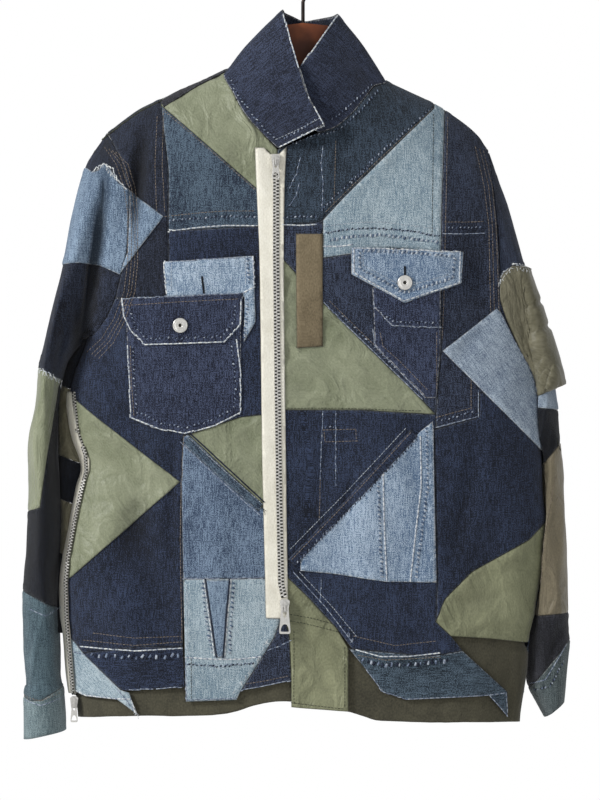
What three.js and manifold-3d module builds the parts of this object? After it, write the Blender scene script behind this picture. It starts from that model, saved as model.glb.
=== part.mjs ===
// A patched denim jacket on a wooden hanger, hung by the hook. Millimetres, +Z up.
// The origin is the point inside the hook that rests on a rod. The front faces -Y,
// and the wearer's right side is at -X. Every cloth piece is a wall, cut from one
// front, back or sleeve surface along its own outline, so that neighbours meet at a seam.
import * as THREE from 'three';
import { mergeVertices } from 'three/addons/utils/BufferGeometryUtils.js';
import Module from 'manifold-3d';

const wasm = await Module();
wasm.setup();

// ---------------------------------------------------------------- driving dimensions
const WALL = 1.4; // one layer of denim
const GAP = 0.3; // between neighbouring pieces
const COLLAR_WALL = 2.6; // the collar is two layers
const FRONT_DEPTH = 45; // from the side seams' plane to the front
const BACK_DEPTH = 38; // and to the back
const SIDE_ROUND = 110; // how far in from the side the body reaches its full depth
const SHOULDER_ROUND = 100; // how far down from the shoulder line it does
const HEM = -851; // lowest level of the body surfaces
const UNDERARM_RIGHT = -420;
const UNDERARM_LEFT = -478;
const REACH = 200; // half the length of a cutting prism along Y
const FACETING = 0.14; // how far a facet may be from the surface it stands for
const FAR = 330; // past the widest point, for outlines that run off the cloth

// Heights of an overlaid piece's inner face above the base surface, by layer.
const LAYER_FOOT = [-WALL, 0.35, 2.1, 3.9];

// Outlines, as [x, z] in the front view.
const SHOULDER_LINE = [
  [-217, -192], [-198, -177], [-179, -164], [-141, -147], [-113, -135], [-88, -123], [-64, -112],
  [-36, -99], [0, -92], [46, -106], [91, -133], [118, -146], [141, -157], [173, -177], [195, -196],
  [206, -214]];
const RIGHT_SIDE = [
  [-217, -192], [-234, -213], [-249, -268], [-253, -323], [-249, -378], [-239, -420], [-250, -450],
  [-258, -479], [-258, -504], [-253, -530], [-245, -552], [-243, -566], [-248, -583], [-254, -612],
  [-258, -635], [-264, -665], [-267, -690], [-266, -728], [-263, -748], [-260, -788], [-256, -818],
  [-253, -851]];
const LEFT_SIDE = [
  [206, -214], [220, -240], [232, -279], [239, -334], [243, -389], [251, -433], [261, -478],
  [263, -490], [265, -541], [266, -594], [270, -622], [267, -664], [258, -719], [251, -750],
  [248, -788], [241, -834], [240, -851]];
const RIGHT_ARMHOLE = [
  [-217, -192], [-201, -222], [-192, -255], [-194, -325], [-199, -343], [-207, -376], [-216, -396],
  [-229, -413], [-239, -420]];
const LEFT_ARMHOLE = [
  [206, -214], [210, -249], [214, -288], [217, -336], [218, -390], [234, -424], [251, -453],
  [261, -478]];
const HEM_LINE = [
  [-253, -839], [-186, -836], [-89, -834], [-43, -822], [-13, -820], [50, -831], [85, -841],
  [186, -843], [240, -844]];

// The collar's lower edge follows the neck, from its right end round the back to its left end.
// Each row: neck seam x, z; which surface it is on; upper edge x, y, z.
const COLLAR = [
  [-26, -212, 'front', 24, -64, -185], [-46, -193, 'front', 6, -61, -155],
  [-65, -171, 'front', -4, -51, -122], [-77, -149, 'front', -13, -34, -91],
  [-87, -124, 'front', -21, -6, -57], [-72, -122, 'back', -19, 8, -58],
  [-42, -128, 'back', -11, 19, -61], [2, -133, 'back', 1, 24, -66],
  [46, -130, 'back', 16, 20, -64], [78, -130, 'back', 31, 8, -62],
  [91, -133, 'front', 37, -5, -61], [78, -142, 'front', 23, -24, -82],
  [68, -155, 'front', 10, -36, -102], [54, -172, 'front', -3, -43, -120],
  [35, -188, 'front', -14, -46, -140], [16, -194, 'front', -23, -46, -162]];

// Sleeves, ring by ring from the armhole to the cuff: outer x, z; inner x, z; half depth; middle y.
const RIGHT_SLEEVE = [
  [-217, -192, -239, -420, 38, -3], [-241, -230, -243, -425, 46, 3], [-255, -281, -249, -431, 54, 6],
  [-266, -338, -254, -437, 60, 9], [-276, -378, -260, -446, 64, 12], [-284, -411, -264, -458, 66, 14],
  [-293, -451, -268, -476, 66, 16], [-297, -494, -270, -505, 64, 17], [-304, -538, -270, -543, 62, 18],
  [-305, -587, -268, -589, 60, 18], [-307, -642, -268, -643, 57, 18], [-311, -699, -271, -708, 54, 17],
  [-311, -752, -270, -758, 51, 16], [-307, -800, -269, -800, 49, 15], [-310, -811, -266, -809, 49, 14],
  [-310, -864, -263, -854, 49, 13]];
const LEFT_SLEEVE = [
  [206, -214, 261, -478, 34, -3], [217, -244, 264, -484, 42, 6], [230, -281, 266, -490, 50, 14],
  [244, -330, 266, -498, 57, 22], [257, -369, 262, -508, 61, 28], [268, -411, 256, -520, 63, 33],
  [277, -451, 251, -532, 64, 36], [283, -494, 248, -548, 63, 38], [287, -539, 247, -570, 61, 38],
  [290, -587, 247, -602, 59, 38], [294, -648, 247, -650, 56, 36], [295, -708, 248, -708, 53, 32],
  [296, -746, 249, -774, 50, 28], [296, -763, 250, -805, 49, 26], [291, -822, 268, -840, 48, 24]];

// Long soft folds of the fronts: from x, z to x, z, half width, height (a trough is negative).
const FOLDS = [
  [-170, -190, -168, -330, 14, -7], [-90, -540, -98, -800, 26, 6], [-205, -520, -150, -790, 22, -6],
  [180, -230, 196, -420, 18, -6], [90, -470, 60, -760, 30, 5], [215, -560, 180, -790, 24, -6]];

// Cloths: colour and roughness.
const CLOTH = {
  indigo: [0x252c42, 0.9], navy: [0x2b3252, 0.9], faded: [0x4a5d78, 0.9], light: [0x8a9fb2, 0.9],
  teal: [0x4c6372, 0.9], satin: [0x868d72, 0.55], olive: [0x4d4a38, 0.8], webbing: [0x6b5d46, 0.9],
  tan: [0x6e6b55, 0.7], ecru: [0xe8e3d6, 0.8]};

// Pieces of the fronts: name, cloth, layer, outline.
const FRONT_PIECES = [
  ['right_shoulder', 'indigo', 0, [
    [-157, -162], [-152, -202], [-148, -235], [-148, -376], [-207, -376], [-199, -343], [-194, -325],
    [-192, -255], [-201, -222], [-217, -192], [-228, -171], [-157, -125]]],
  ['right_yoke_satin', 'satin', 0, [
    [-157, -162], [-157, -125], [-85, -92], [-87, -124], [-77, -149], [-65, -171], [-46, -193],
    [-28, -212], [-29, -275]]],
  ['right_chest', 'faded', 0, [
    [-157, -162], [-29, -275], [-29, -296], [-52, -297], [-148, -302], [-148, -235], [-152, -202]]],
  ['right_front', 'navy', 0, [
    [-148, -376], [-148, -302], [-52, -297], [-29, -296], [-28, -334], [-26, -466], [-26, -504],
    [-43, -504], [-70, -507], [-123, -525], [-132, -528], [-134, -578], [-132, -685], [-132, -760],
    [-177, -759], [-243, -767], [-250, -758], [-262, -745], [-FAR, -744], [-FAR, -452],
    [-250, -450], [-239, -420], [-229, -413], [-216, -396], [-207, -376]]],
  ['right_arm_patch', 'light', 1, [
    [-192, -256], [-153, -286], [-201, -349], [-198, -338], [-193, -325]]],
  ['right_light_patch', 'light', 1, [
    [-154, -336], [-54, -329], [-53, -365], [-52, -402], [-65, -425], [-65, -375], [-150, -375]]],
  ['right_pocket', 'indigo', 1, [
    [-195, -381], [-68, -377], [-68, -502], [-98, -517], [-130, -525], [-165, -519], [-190, -508],
    [-194, -411]]],
  ['right_pocket_flap', 'indigo', 2, [
    [-200, -376], [-66, -370], [-67, -404], [-87, -425], [-174, -428], [-190, -411], [-198, -394]]],
  ['right_side_satin', 'satin', 1, [
    [-FAR, -486], [-250, -488], [-231, -504], [-135, -578], [-257, -685], [-FAR, -686]]],
  ['right_waist_satin', 'satin', 0, [
    [-126, -526], [-123, -525], [-70, -507], [-43, -504], [-26, -504], [-24, -598], [-24, -619],
    [-43, -604]]],
  ['right_waist', 'faded', 0, [
    [-132, -528], [-126, -526], [-43, -604], [-24, -619], [-22, -684], [-132, -685], [-134, -578]]],
  ['right_hem_light', 'light', 0, [
    [-132, -685], [-22, -684], [-21, -721], [-31, -748], [-43, -768], [-69, -809], [-73, -818],
    [-129, -820]]],
  ['right_hem_dark', 'indigo', 0, [
    [-21, -721], [-15, -748], [-13, -797], [-66, -807], [-69, -809], [-43, -768], [-31, -748]]],
  ['right_waistband', 'navy', 0, [
    [-243, -767], [-177, -759], [-132, -760], [-130, -804], [-195, -808], [-201, -807]]],
  ['right_corner', 'light', 0, [
    [-FAR, -744], [-262, -745], [-250, -758], [-243, -767], [-201, -807], [-191, -810], [-184, -833],
    [-205, -818], [-245, -814], [-254, -809], [-FAR, -807]]],
  ['left_yoke', 'indigo', 0, [
    [-28, -212], [-3, -202], [16, -194], [35, -188], [54, -172], [68, -155], [78, -142], [91, -133],
    [94, -103], [146, -136], [145, -165], [43, -267], [22, -290], [14, -293], [-29, -296]]],
  ['left_chest_light', 'light', 0, [
    [145, -165], [146, -136], [158, -147], [157, -171], [153, -267], [152, -320], [102, -314],
    [54, -321], [22, -327], [22, -290], [43, -267]]],
  ['left_side_upper', 'indigo', 0, [
    [157, -171], [158, -147], [222, -180], [206, -214], [210, -249], [214, -288], [217, -336],
    [218, -390], [234, -424], [251, -453], [261, -478], [FAR, -479], [FAR, -510], [217, -484],
    [194, -479], [194, -507], [146, -520], [147, -488], [152, -433], [152, -320], [153, -267]]],
  ['left_front_satin', 'satin', 0, [
    [-28, -334], [-28, -328], [-21, -334], [22, -381], [131, -488], [146, -504], [129, -503],
    [63, -499], [-26, -499], [-26, -466]]],
  ['left_chest', 'indigo', 0, [
    [-29, -296], [14, -293], [22, -290], [22, -327], [54, -321], [102, -314], [152, -320],
    [152, -433], [147, -488], [146, -504], [131, -488], [22, -381], [-21, -334], [-28, -328]]],
  ['left_pocket', 'indigo', 1, [
    [76, -367], [151, -367], [151, -433], [147, -486], [136, -486], [79, -428]]],
  ['left_under_flap', 'indigo', 2, [[76, -364], [151, -364], [151, -409], [98, -407], [78, -386]]],
  ['left_pocket_flap', 'light', 3, [[53, -320], [175, -325], [173, -360], [112, -382], [53, -350]]],
  ['webbing_strip', 'webbing', 1, [[-8, -305], [22, -305], [22, -429], [-7, -431]]],
  ['left_side_light', 'light', 1, [
    [153, -434], [213, -387], [218, -391], [234, -424], [251, -453], [262, -479], [FAR, -480],
    [FAR, -605], [264, -545], [207, -488]]],
  ['left_side', 'navy', 0, [
    [146, -520], [194, -507], [194, -479], [217, -484], [FAR, -510], [FAR, -620], [270, -622],
    [250, -642], [186, -677], [156, -707], [146, -732], [148, -689], [144, -521]]],
  ['left_hem_satin', 'satin', 0, [
    [FAR, -620], [270, -622], [250, -642], [186, -677], [156, -707], [146, -732], [163, -748],
    [207, -751], [245, -756], [FAR, -759]]],
  ['left_front', 'navy', 0, [
    [-26, -499], [63, -499], [129, -503], [146, -504], [147, -488], [146, -520], [144, -521],
    [148, -689], [146, -732], [163, -748], [176, -764], [140, -770], [54, -762], [37, -739],
    [9, -708], [-22, -678], [-24, -598]]],
  ['left_lower_light', 'light', 1, [
    [128, -523], [143, -511], [147, -689], [91, -688], [38, -680], [-3, -676], [-3, -661]]],
  ['left_placket', 'satin', 0, [
    [-22, -678], [9, -708], [37, -739], [50, -761], [50, -831], [-3, -827], [-13, -826], [-13, -797],
    [-15, -748], [-21, -721], [-22, -684]]],
  ['left_waistband', 'faded', 0, [
    [50, -761], [54, -762], [140, -770], [176, -764], [226, -810], [226, -837], [205, -814],
    [114, -818], [87, -809], [70, -786]]],
  ['front_zip_tape', 'ecru', 1, [
    [-43, -210], [-36, -217], [-26, -217], [-18, -209], [-20, -248], [-21, -331], [-20, -445],
    [-17, -673], [-16, -729], [-41, -728], [-45, -558], [-48, -331], [-51, -258], [-53, -210]]],
  ['side_zip_tape', 'ecru', 2, [
    [-254, -479], [-250, -504], [-245, -530], [-234, -553], [-234, -566], [-240, -583], [-246, -612],
    [-251, -635], [-256, -665], [-258, -690], [-257, -728], [-255, -748], [-252, -788], [-250, -812],
    [-FAR, -812], [-FAR, -479]]]];

// Pieces of the back, plain.
const YOKE_LEVEL = -310;
const WAIST_LEVEL = -762;
const BACK_PIECES = [
  ['back_yoke', 'indigo', [
    [-194, YOKE_LEVEL], [-192, -255], [-201, -222], [-217, -192], [-228, -171], [-95, -95],
    [-87, -124], [-72, -122], [-42, -128], [2, -133], [46, -130], [78, -130], [91, -133], [98, -100],
    [222, -180], [206, -214], [210, -249], [215, YOKE_LEVEL]]],
  ['back_panel', 'navy', [
    [-194, YOKE_LEVEL], [215, YOKE_LEVEL], [217, -336], [218, -390], [234, -424], [251, -453],
    [261, -478], [FAR, -479], [FAR, WAIST_LEVEL], [-FAR, WAIST_LEVEL], [-FAR, -452],
    [-250, -450], [-239, -420],
    [-229, -413], [-216, -396], [-207, -376], [-199, -343], [-194, -325]]],
  ['back_waistband', 'faded', [
    [-FAR, WAIST_LEVEL], [FAR, WAIST_LEVEL], [FAR, -815], [-FAR, -815]]]];

// Pieces of the sleeves: whole bands, cut across the tube.
const RIGHT_PATCH = [
  [-290, -213], [-239, -231], [-232, -236], [-225, -234], [-221, -225], [-212, -233], [-203, -249],
  [-192, -255], [-180, -257], [-180, -352], [-202, -350], [-224, -340], [-246, -337], [-FAR, -345]];
const RIGHT_BANDS = [
  ['right_sleeve_upper', 'navy', [
    [-FAR, -100], [-150, -100], [-150, -400], [-235, -482], [-267, -466], [-294, -451], [-FAR, -431]]],
  ['right_sleeve_satin', 'satin', [
    [-FAR, -431], [-294, -451], [-267, -466], [-270, -474], [-290, -607], [-304, -611], [-FAR, -613]]],
  ['right_sleeve_navy', 'navy', [
    [-270, -474], [-267, -466], [-235, -482], [-235, -737], [-270, -719], [-310, -699], [-FAR, -689],
    [-FAR, -613], [-304, -611], [-290, -607]]],
  ['right_sleeve_teal', 'teal', [
    [-235, -737], [-270, -719], [-310, -699], [-FAR, -689], [-FAR, -812], [-310, -816], [-300, -820],
    [-288, -819], [-267, -806], [-235, -796]]],
  ['right_cuff', 'teal', [
    [-FAR, -812], [-310, -816], [-300, -820], [-288, -819], [-267, -806], [-235, -796], [-235, -900],
    [-FAR, -900]]]];
const LEFT_BANDS = [
  ['left_sleeve_upper', 'indigo', [
    [FAR, -100], [150, -100], [150, -420], [235, -495], [263, -497], [283, -499], [FAR, -502]]],
  ['left_sleeve_navy', 'navy', [
    [FAR, -502], [283, -499], [263, -497], [235, -495], [235, -593], [267, -557], [287, -534],
    [FAR, -508]]],
  ['left_sleeve_tan', 'tan', [
    [FAR, -508], [287, -534], [267, -557], [235, -593], [235, -728], [257, -727], [295, -724],
    [FAR, -723]]],
  ['left_sleeve_lower', 'navy', [
    [FAR, -723], [295, -724], [257, -727], [235, -728], [235, -826], [257, -800], [294, -756],
    [FAR, -740]]],
  ['left_cuff', 'teal', [
    [FAR, -740], [294, -756], [257, -800], [235, -826], [235, -900], [FAR, -900]]]];
const ARM_POCKET = [
  [226, -396], [222, -376], [228, -350], [248, -342], [268, -400], [289, -462], [280, -474],
  [258, -472], [240, -430]];

const HANGER = [
  [-187, -182], [-179, -176], [-141, -157], [-113, -145], [-90, -134], [-66, -117], [-42, -91],
  [-24, -73], [0, -70], [28, -73], [46, -93], [68, -124], [92, -144], [118, -157], [141, -168],
  [173, -190], [181, -197], [179, -214], [141, -190], [92, -166], [40, -140], [0, -128], [-40, -136],
  [-90, -156], [-141, -177], [-185, -199]];
const HANGER_HALF = 5;

// ---------------------------------------------------------------- small tools
const vec = (x, y, z) => new THREE.Vector3(x, y, z);
const lerp = THREE.MathUtils.lerp;
const smooth = THREE.MathUtils.smoothstep;

// A smooth curve through [value, key] points, read at any key.
function through(points, valueAt = 0, keyAt = 1) {
  const p = points.map((q) => [q[keyAt], q[valueAt]]).sort((a, b) => a[0] - b[0]);
  const slope = p.map((_, i) => {
    const a = p[Math.max(i - 1, 0)];
    const b = p[Math.min(i + 1, p.length - 1)];
    return (b[1] - a[1]) / (b[0] - a[0]);
  });
  return (key) => {
    const k = THREE.MathUtils.clamp(key, p[0][0], p[p.length - 1][0]);
    let i = 0;
    while (i < p.length - 2 && k > p[i + 1][0]) i += 1;
    const h = p[i + 1][0] - p[i][0];
    const t = (k - p[i][0]) / h;
    return (2 * t ** 3 - 3 * t ** 2 + 1) * p[i][1] + (t ** 3 - 2 * t ** 2 + t) * h * slope[i]
      + (3 * t ** 2 - 2 * t ** 3) * p[i + 1][1] + (t ** 3 - t ** 2) * h * slope[i + 1];
  };
}

const rightSide = through(RIGHT_SIDE);
const leftSide = through(LEFT_SIDE);
const rightArmhole = through(RIGHT_ARMHOLE);
const leftArmhole = through(LEFT_ARMHOLE);
const shoulder = through(SHOULDER_LINE, 1, 0);
const hemLine = through(HEM_LINE, 1, 0);

// ---------------------------------------------------------------- body surfaces
// A quarter circle's rise, from 0 at the edge to 1.
const rise = (s) => (s <= 0 ? 0 : s >= 1 ? 1 : Math.sqrt(1 - (1 - s) ** 2));

// The plane of the side seams; the lower body hangs a little forward.
const middle = (z) => -6 * smooth(-z, 150, 450);

// How full the body is at a point: 0 on its outline, 1 inside.
function fullness(x, z) {
  return rise((x - rightSide(z)) / SIDE_ROUND) * rise((leftSide(z) - x) / SIDE_ROUND)
    * rise((shoulder(x) - z) / SHOULDER_ROUND);
}

function foldHeight(x, z) {
  let height = 0;
  for (const [x1, z1, x2, z2, width, rising] of FOLDS) {
    const along = ((x - x1) * (x2 - x1) + (z - z1) * (z2 - z1)) / ((x2 - x1) ** 2 + (z2 - z1) ** 2);
    const t = THREE.MathUtils.clamp(along, 0, 1);
    const off = Math.hypot(x - lerp(x1, x2, t), z - lerp(z1, z2, t));
    height += rising * Math.sin(Math.PI * THREE.MathUtils.clamp(along, 0.02, 0.98))
      * Math.exp(-((off / width) ** 2));
  }
  return height;
}

const frontY = (x, z) => middle(z) - fullness(x, z) * (FRONT_DEPTH + foldHeight(x, z));
const backY = (x, z) => middle(z) + fullness(x, z) * BACK_DEPTH;

// A grid of points over the front or back, closer together near the sides and shoulders.
function bodyGrid(columns, rows, surfaceY, sign) {
  const grid = [];
  for (let v = 0; v <= rows; v += 1) {
    const t = v / rows;
    const down = t ** 1.5;
    const row = [];
    for (let u = 0; u <= columns; u += 1) {
      const across = (1 - Math.cos((Math.PI * u) / columns)) / 2;
      let x = 0;
      let z = -400;
      for (let i = 0; i < 12; i += 1) {
        z = lerp(shoulder(x), HEM, down);
        x = lerp(rightSide(z), leftSide(z), across);
      }
      row.push(vec(x, surfaceY(x, z) + sign * (GAP / 2), z));
    }
    grid.push(row);
  }
  return grid;
}

// Outward normals of a grid. On a rim that meets another piece they stay in the X-Z plane.
function normals(grid, { closed = false, flatRim = false, away }) {
  const rows = grid.length;
  const columns = grid[0].length;
  return grid.map((row, v) => row.map((point, u) => {
    const left = closed ? row[(u + columns - 1) % columns] : row[Math.max(u - 1, 0)];
    const right = closed ? row[(u + 1) % columns] : row[Math.min(u + 1, columns - 1)];
    const up = grid[Math.max(v - 1, 0)][u];
    const down = grid[Math.min(v + 1, rows - 1)][u];
    const normal = right.clone().sub(left).cross(down.clone().sub(up));
    if (normal.dot(point.clone().sub(away)) < 0) normal.negate();
    if (flatRim && (u === 0 || u === columns - 1 || v === 0)) normal.y = 0;
    return normal.normalize();
  }));
}

const moved = (grid, normal, distance) => grid.map((row, v) => row.map((point, u) => {
  const d = typeof distance === 'function' ? distance(v, u) : distance;
  return point.clone().addScaledVector(normal[v][u], d);
}));

// ---------------------------------------------------------------- solids
function toManifold(positions, triangles) {
  return new wasm.Manifold(new wasm.Mesh({
    numProp: 3, vertProperties: new Float32Array(positions), triVerts: new Uint32Array(triangles)}));
}

function fromGeometry(geometry) {
  const plain = geometry.clone();
  plain.deleteAttribute('normal');
  plain.deleteAttribute('uv');
  const merged = mergeVertices(plain, 1e-4);
  return toManifold(merged.attributes.position.array, merged.index.array);
}

// The closed wall between two grids of the same size.
function wall(outer, inner, closed = false) {
  const rows = outer.length;
  const columns = outer[0].length;
  const positions = [...outer, ...inner].flat().flatMap((p) => [p.x, p.y, p.z]);
  const at = (v, u, side) => side * rows * columns + v * columns + (u % columns);
  const triangles = [];
  const quad = (a, b, c, d) => triangles.push([a, b, c], [a, c, d]);
  const lastColumn = closed ? columns : columns - 1;
  for (let v = 0; v < rows - 1; v += 1) {
    for (let u = 0; u < lastColumn; u += 1) {
      quad(at(v, u, 0), at(v + 1, u, 0), at(v + 1, u + 1, 0), at(v, u + 1, 0));
      quad(at(v, u, 1), at(v, u + 1, 1), at(v + 1, u + 1, 1), at(v + 1, u, 1));
    }
  }
  for (let u = 0; u < lastColumn; u += 1) {
    quad(at(0, u, 0), at(0, u + 1, 0), at(0, u + 1, 1), at(0, u, 1));
    quad(at(rows - 1, u, 0), at(rows - 1, u, 1), at(rows - 1, u + 1, 1), at(rows - 1, u + 1, 0));
  }
  for (let v = 0; v < rows - 1 && !closed; v += 1) {
    quad(at(v, 0, 0), at(v, 0, 1), at(v + 1, 0, 1), at(v + 1, 0, 0));
    quad(at(v, columns - 1, 0), at(v + 1, columns - 1, 0), at(v + 1, columns - 1, 1),
      at(v, columns - 1, 1));
  }
  const point = (i) => vec(positions[3 * i], positions[3 * i + 1], positions[3 * i + 2]);
  const volume = triangles.reduce((sum, [a, b, c]) => sum + point(a).dot(point(b).cross(point(c))), 0);
  const facing = volume < 0 ? triangles.map(([a, b, c]) => [a, c, b]) : triangles;
  return toManifold(positions, facing.flat());
}

// An outline with every edge moved inwards by a distance.
function inset(outline, distance) {
  const area = outline.reduce((sum, [x, z], i) => {
    const [nextX, nextZ] = outline[(i + 1) % outline.length];
    return sum + x * nextZ - nextX * z;
  }, 0);
  const inward = Math.sign(area) * distance;
  return outline.map((corner, i) => {
    const before = outline[(i + outline.length - 1) % outline.length];
    const after = outline[(i + 1) % outline.length];
    const [ax, az] = [corner[0] - before[0], corner[1] - before[1]];
    const [bx, bz] = [after[0] - corner[0], after[1] - corner[1]];
    const a = Math.hypot(ax, az);
    const b = Math.hypot(bx, bz);
    const bend = 1 + (ax * bx + az * bz) / (a * b);
    return [corner[0] - (inward * (az / a + bz / b)) / bend,
      corner[1] + (inward * (ax / a + bx / b)) / bend];
  });
}

// An upright cutter: an outline in X-Z, drawn out along Y.
function prism(outline, from = -REACH, to = REACH) {
  const shape = new THREE.Shape(outline.map(([x, z]) => new THREE.Vector2(x, z)));
  const geometry = new THREE.ExtrudeGeometry(shape, { depth: to - from, bevelEnabled: false });
  geometry.rotateX(Math.PI / 2);
  geometry.translate(0, to, 0);
  return fromGeometry(geometry);
}

const cut = (shell, outline) => shell.intersect(prism(inset(outline, GAP / 2)));

// ---------------------------------------------------------------- the group
const jacket = new THREE.Group();

function addGeometry(name, geometry, material) {
  const mesh = new THREE.Mesh(geometry, material);
  mesh.name = name;
  jacket.add(mesh);
  return mesh;
}

function addSolid(name, solid, material) {
  const { vertProperties, triVerts } = solid.simplify(FACETING).getMesh();
  const geometry = new THREE.BufferGeometry();
  geometry.setAttribute('position', new THREE.Float32BufferAttribute(vertProperties, 3));
  geometry.setIndex([...triVerts]);
  return addGeometry(name, geometry, material);
}

const clothMaterials = Object.fromEntries(Object.entries(CLOTH).map(([name, [color, roughness]]) => [
  name, new THREE.MeshStandardMaterial({ color, roughness, side: THREE.DoubleSide })]));
const metal = new THREE.MeshStandardMaterial({ color: 0xd4d4d2, roughness: 0.3, metalness: 1 });
const wood = new THREE.MeshStandardMaterial({ color: 0x4a2416, roughness: 0.45 });
const wire = new THREE.MeshStandardMaterial({ color: 0x2c2220, roughness: 0.35, metalness: 1 });

// ---------------------------------------------------------------- fronts and back
const frontGrid = bodyGrid(20, 20, frontY, -1);
const frontNormal = normals(frontGrid, { flatRim: true, away: vec(0, 400, -450) });
const frontShells = LAYER_FOOT.map((foot) => wall(
  moved(frontGrid, frontNormal, foot + WALL), moved(frontGrid, frontNormal, foot)));

for (const [name, cloth, layer, outline] of FRONT_PIECES) {
  addSolid(name, cut(frontShells[layer], outline), clothMaterials[cloth]);
}

const backGrid = bodyGrid(12, 13, backY, 1);
const backNormal = normals(backGrid, { flatRim: true, away: vec(0, -400, -450) });
const backShell = wall(backGrid, moved(backGrid, backNormal, -WALL));
for (const [name, cloth, outline] of BACK_PIECES) {
  addSolid(name, cut(backShell, outline), clothMaterials[cloth]);
}

// ---------------------------------------------------------------- hem under-layer
// A band that hangs inside the denim and shows below it.
function hemLayer() {
  const top = -738;
  const inside = WALL + 3.2;
  const half = 14;
  const grid = [0, 0.35, 0.7, 1].map((t) => {
    const ring = [];
    for (let i = 0; i < 2 * half; i += 1) {
      const u = i <= half ? i : 2 * half - i;
      const across = (1 - Math.cos((Math.PI * u) / half)) / 2;
      let z = -800;
      let x = 0;
      for (let step = 0; step < 8; step += 1) {
        x = lerp(rightSide(z), leftSide(z), across);
        z = lerp(top, hemLine(x), t);
      }
      ring.push(vec(x, i <= half ? frontY(x, z) : backY(x, z), z));
    }
    return ring;
  });
  const normal = normals(grid, { closed: true, away: vec(0, 0, -790) });
  const outer = moved(grid, normal, -inside);
  return wall(outer, moved(grid, normal, -inside - WALL), true);
}
addSolid('hem_layer', hemLayer(), clothMaterials.olive);

// ---------------------------------------------------------------- collar
function collar() {
  const seamGap = 2;
  const rowsUp = 4;
  const crown = 4;
  const foot = COLLAR.map(([x, z, face]) => vec(x, face === 'front' ? frontY(x, z) : backY(x, z),
    z + seamGap));
  const top = COLLAR.map(([, , , x, y, z]) => vec(x, y, z));
  const centre = vec(2, -8, -110);
  const grid = [];
  for (let v = 0; v <= rowsUp; v += 1) {
    const t = v / rowsUp;
    grid.push(foot.map((point, u) => {
      const p = point.clone().lerp(top[u], t);
      const out = vec(p.x - centre.x, p.y - centre.y, 0).normalize();
      return p.addScaledVector(out, crown * Math.sin(Math.PI * t));
    }));
  }
  const normal = normals(grid, { away: centre });
  return wall(grid, moved(grid, normal, -COLLAR_WALL));
}
addSolid('collar', collar(), clothMaterials.indigo);

// ---------------------------------------------------------------- sleeves
const RING_POINTS = 16;
const BODY_CLEARANCE = 8;
const power = (value, exponent) => Math.sign(value) * Math.abs(value) ** exponent;

// Keeps a sleeve's point outside the body's side, below the underarm.
function clearOfBody(p, side, underarm) {
  const depth = p.y < middle(p.z) ? FRONT_DEPTH : BACK_DEPTH;
  const off = Math.abs(p.y - middle(p.z)) / depth;
  if (off >= 1 || p.z > underarm + 6) return;
  const inside = SIDE_ROUND * (1 - Math.sqrt(1 - off ** 2));
  if (side < 0) p.x = Math.min(p.x, rightSide(p.z) + inside - BODY_CLEARANCE);
  else p.x = Math.max(p.x, leftSide(p.z) - inside + BODY_CLEARANCE);
}

function sleeveGrid(rings, armhole, side, underarm) {
  const oval = ([outX, outZ, inX, inZ, half, centre], angle) => {
    const s = (1 - power(Math.cos(angle), 0.85)) / 2;
    return vec(lerp(outX, inX, s), centre - half * power(Math.sin(angle), 0.8), lerp(outZ, inZ, s));
  };
  const first = rings[0];
  const seam = (angle) => {
    const z = lerp(first[1], first[3], (1 - Math.cos(angle)) / 2);
    const x = armhole(z);
    const surface = Math.sin(angle) >= 0 ? frontY(x, z) : backY(x, z);
    return vec(x + side * 1.5 * GAP, surface, z);
  };
  return rings.map((ring, j) => {
    const keep = [1, 0.62, 0.28][j] ?? 0; // how much of the armhole's own shape this ring has
    const row = [];
    for (let i = 0; i < RING_POINTS; i += 1) {
      const angle = (2 * Math.PI * i) / RING_POINTS;
      const p = oval(ring, angle);
      p.addScaledVector(seam(angle).sub(oval(first, angle)), keep);
      // A long soft trough runs down the front of the upper sleeve.
      const trough = 15 * Math.exp(-(((j - 3) / 2) ** 2)) * Math.exp(-(((angle - 1.7) / 0.5) ** 2));
      p.y += trough;
      if (j > 0) clearOfBody(p, side, underarm);
      row.push(p);
    }
    return row;
  });
}

function ringNormals(grid) {
  return grid.map((row, v) => {
    const centre = row.reduce((sum, p) => sum.add(p), vec(0, 0, 0)).divideScalar(row.length);
    return normals([grid[Math.max(v - 1, 0)], row, grid[Math.min(v + 1, grid.length - 1)]],
      { closed: true, away: centre })[1];
  });
}

// The part of the body that a sleeve is sewn to, as an upright cutter.
function beyondArmhole(seam, side) {
  const [lastX, lastZ] = seam[seam.length - 1];
  const [firstX, firstZ] = seam[0];
  return prism([[firstX + side * 11, firstZ + 20], ...seam.map(([x, z]) => [x + side * GAP, z]),
    [lastX + side * 2, lastZ], [lastX + side * 6, lastZ - 11], [side * 100, lastZ - 11],
    [side * 100, firstZ + 20]]);
}

function addSleeve(rings, seam, side, underarm, bands, patch) {
  const grid = sleeveGrid(rings, side < 0 ? rightArmhole : leftArmhole, side, underarm);
  const normal = ringNormals(grid);
  const tube = wall(grid, moved(grid, normal, -WALL), true).subtract(beyondArmhole(seam, side));
  for (const [name, cloth, outline] of bands) {
    let band = cut(tube, outline);
    if (patch && name === 'right_sleeve_upper') {
      band = band.subtract(prism(inset(patch, -GAP / 2), -REACH, GAP));
      addSolid('right_sleeve_patch', tube.intersect(prism(inset(patch, GAP / 2), -REACH, 0)),
        clothMaterials.light);
    }
    addSolid(name, band, clothMaterials[cloth]);
  }
  return { grid, normal };
}
addSleeve(RIGHT_SLEEVE, RIGHT_ARMHOLE, -1, UNDERARM_RIGHT, RIGHT_BANDS, RIGHT_PATCH);
const leftArm = addSleeve(LEFT_SLEEVE, LEFT_ARMHOLE, 1, UNDERARM_LEFT, LEFT_BANDS);

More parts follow.
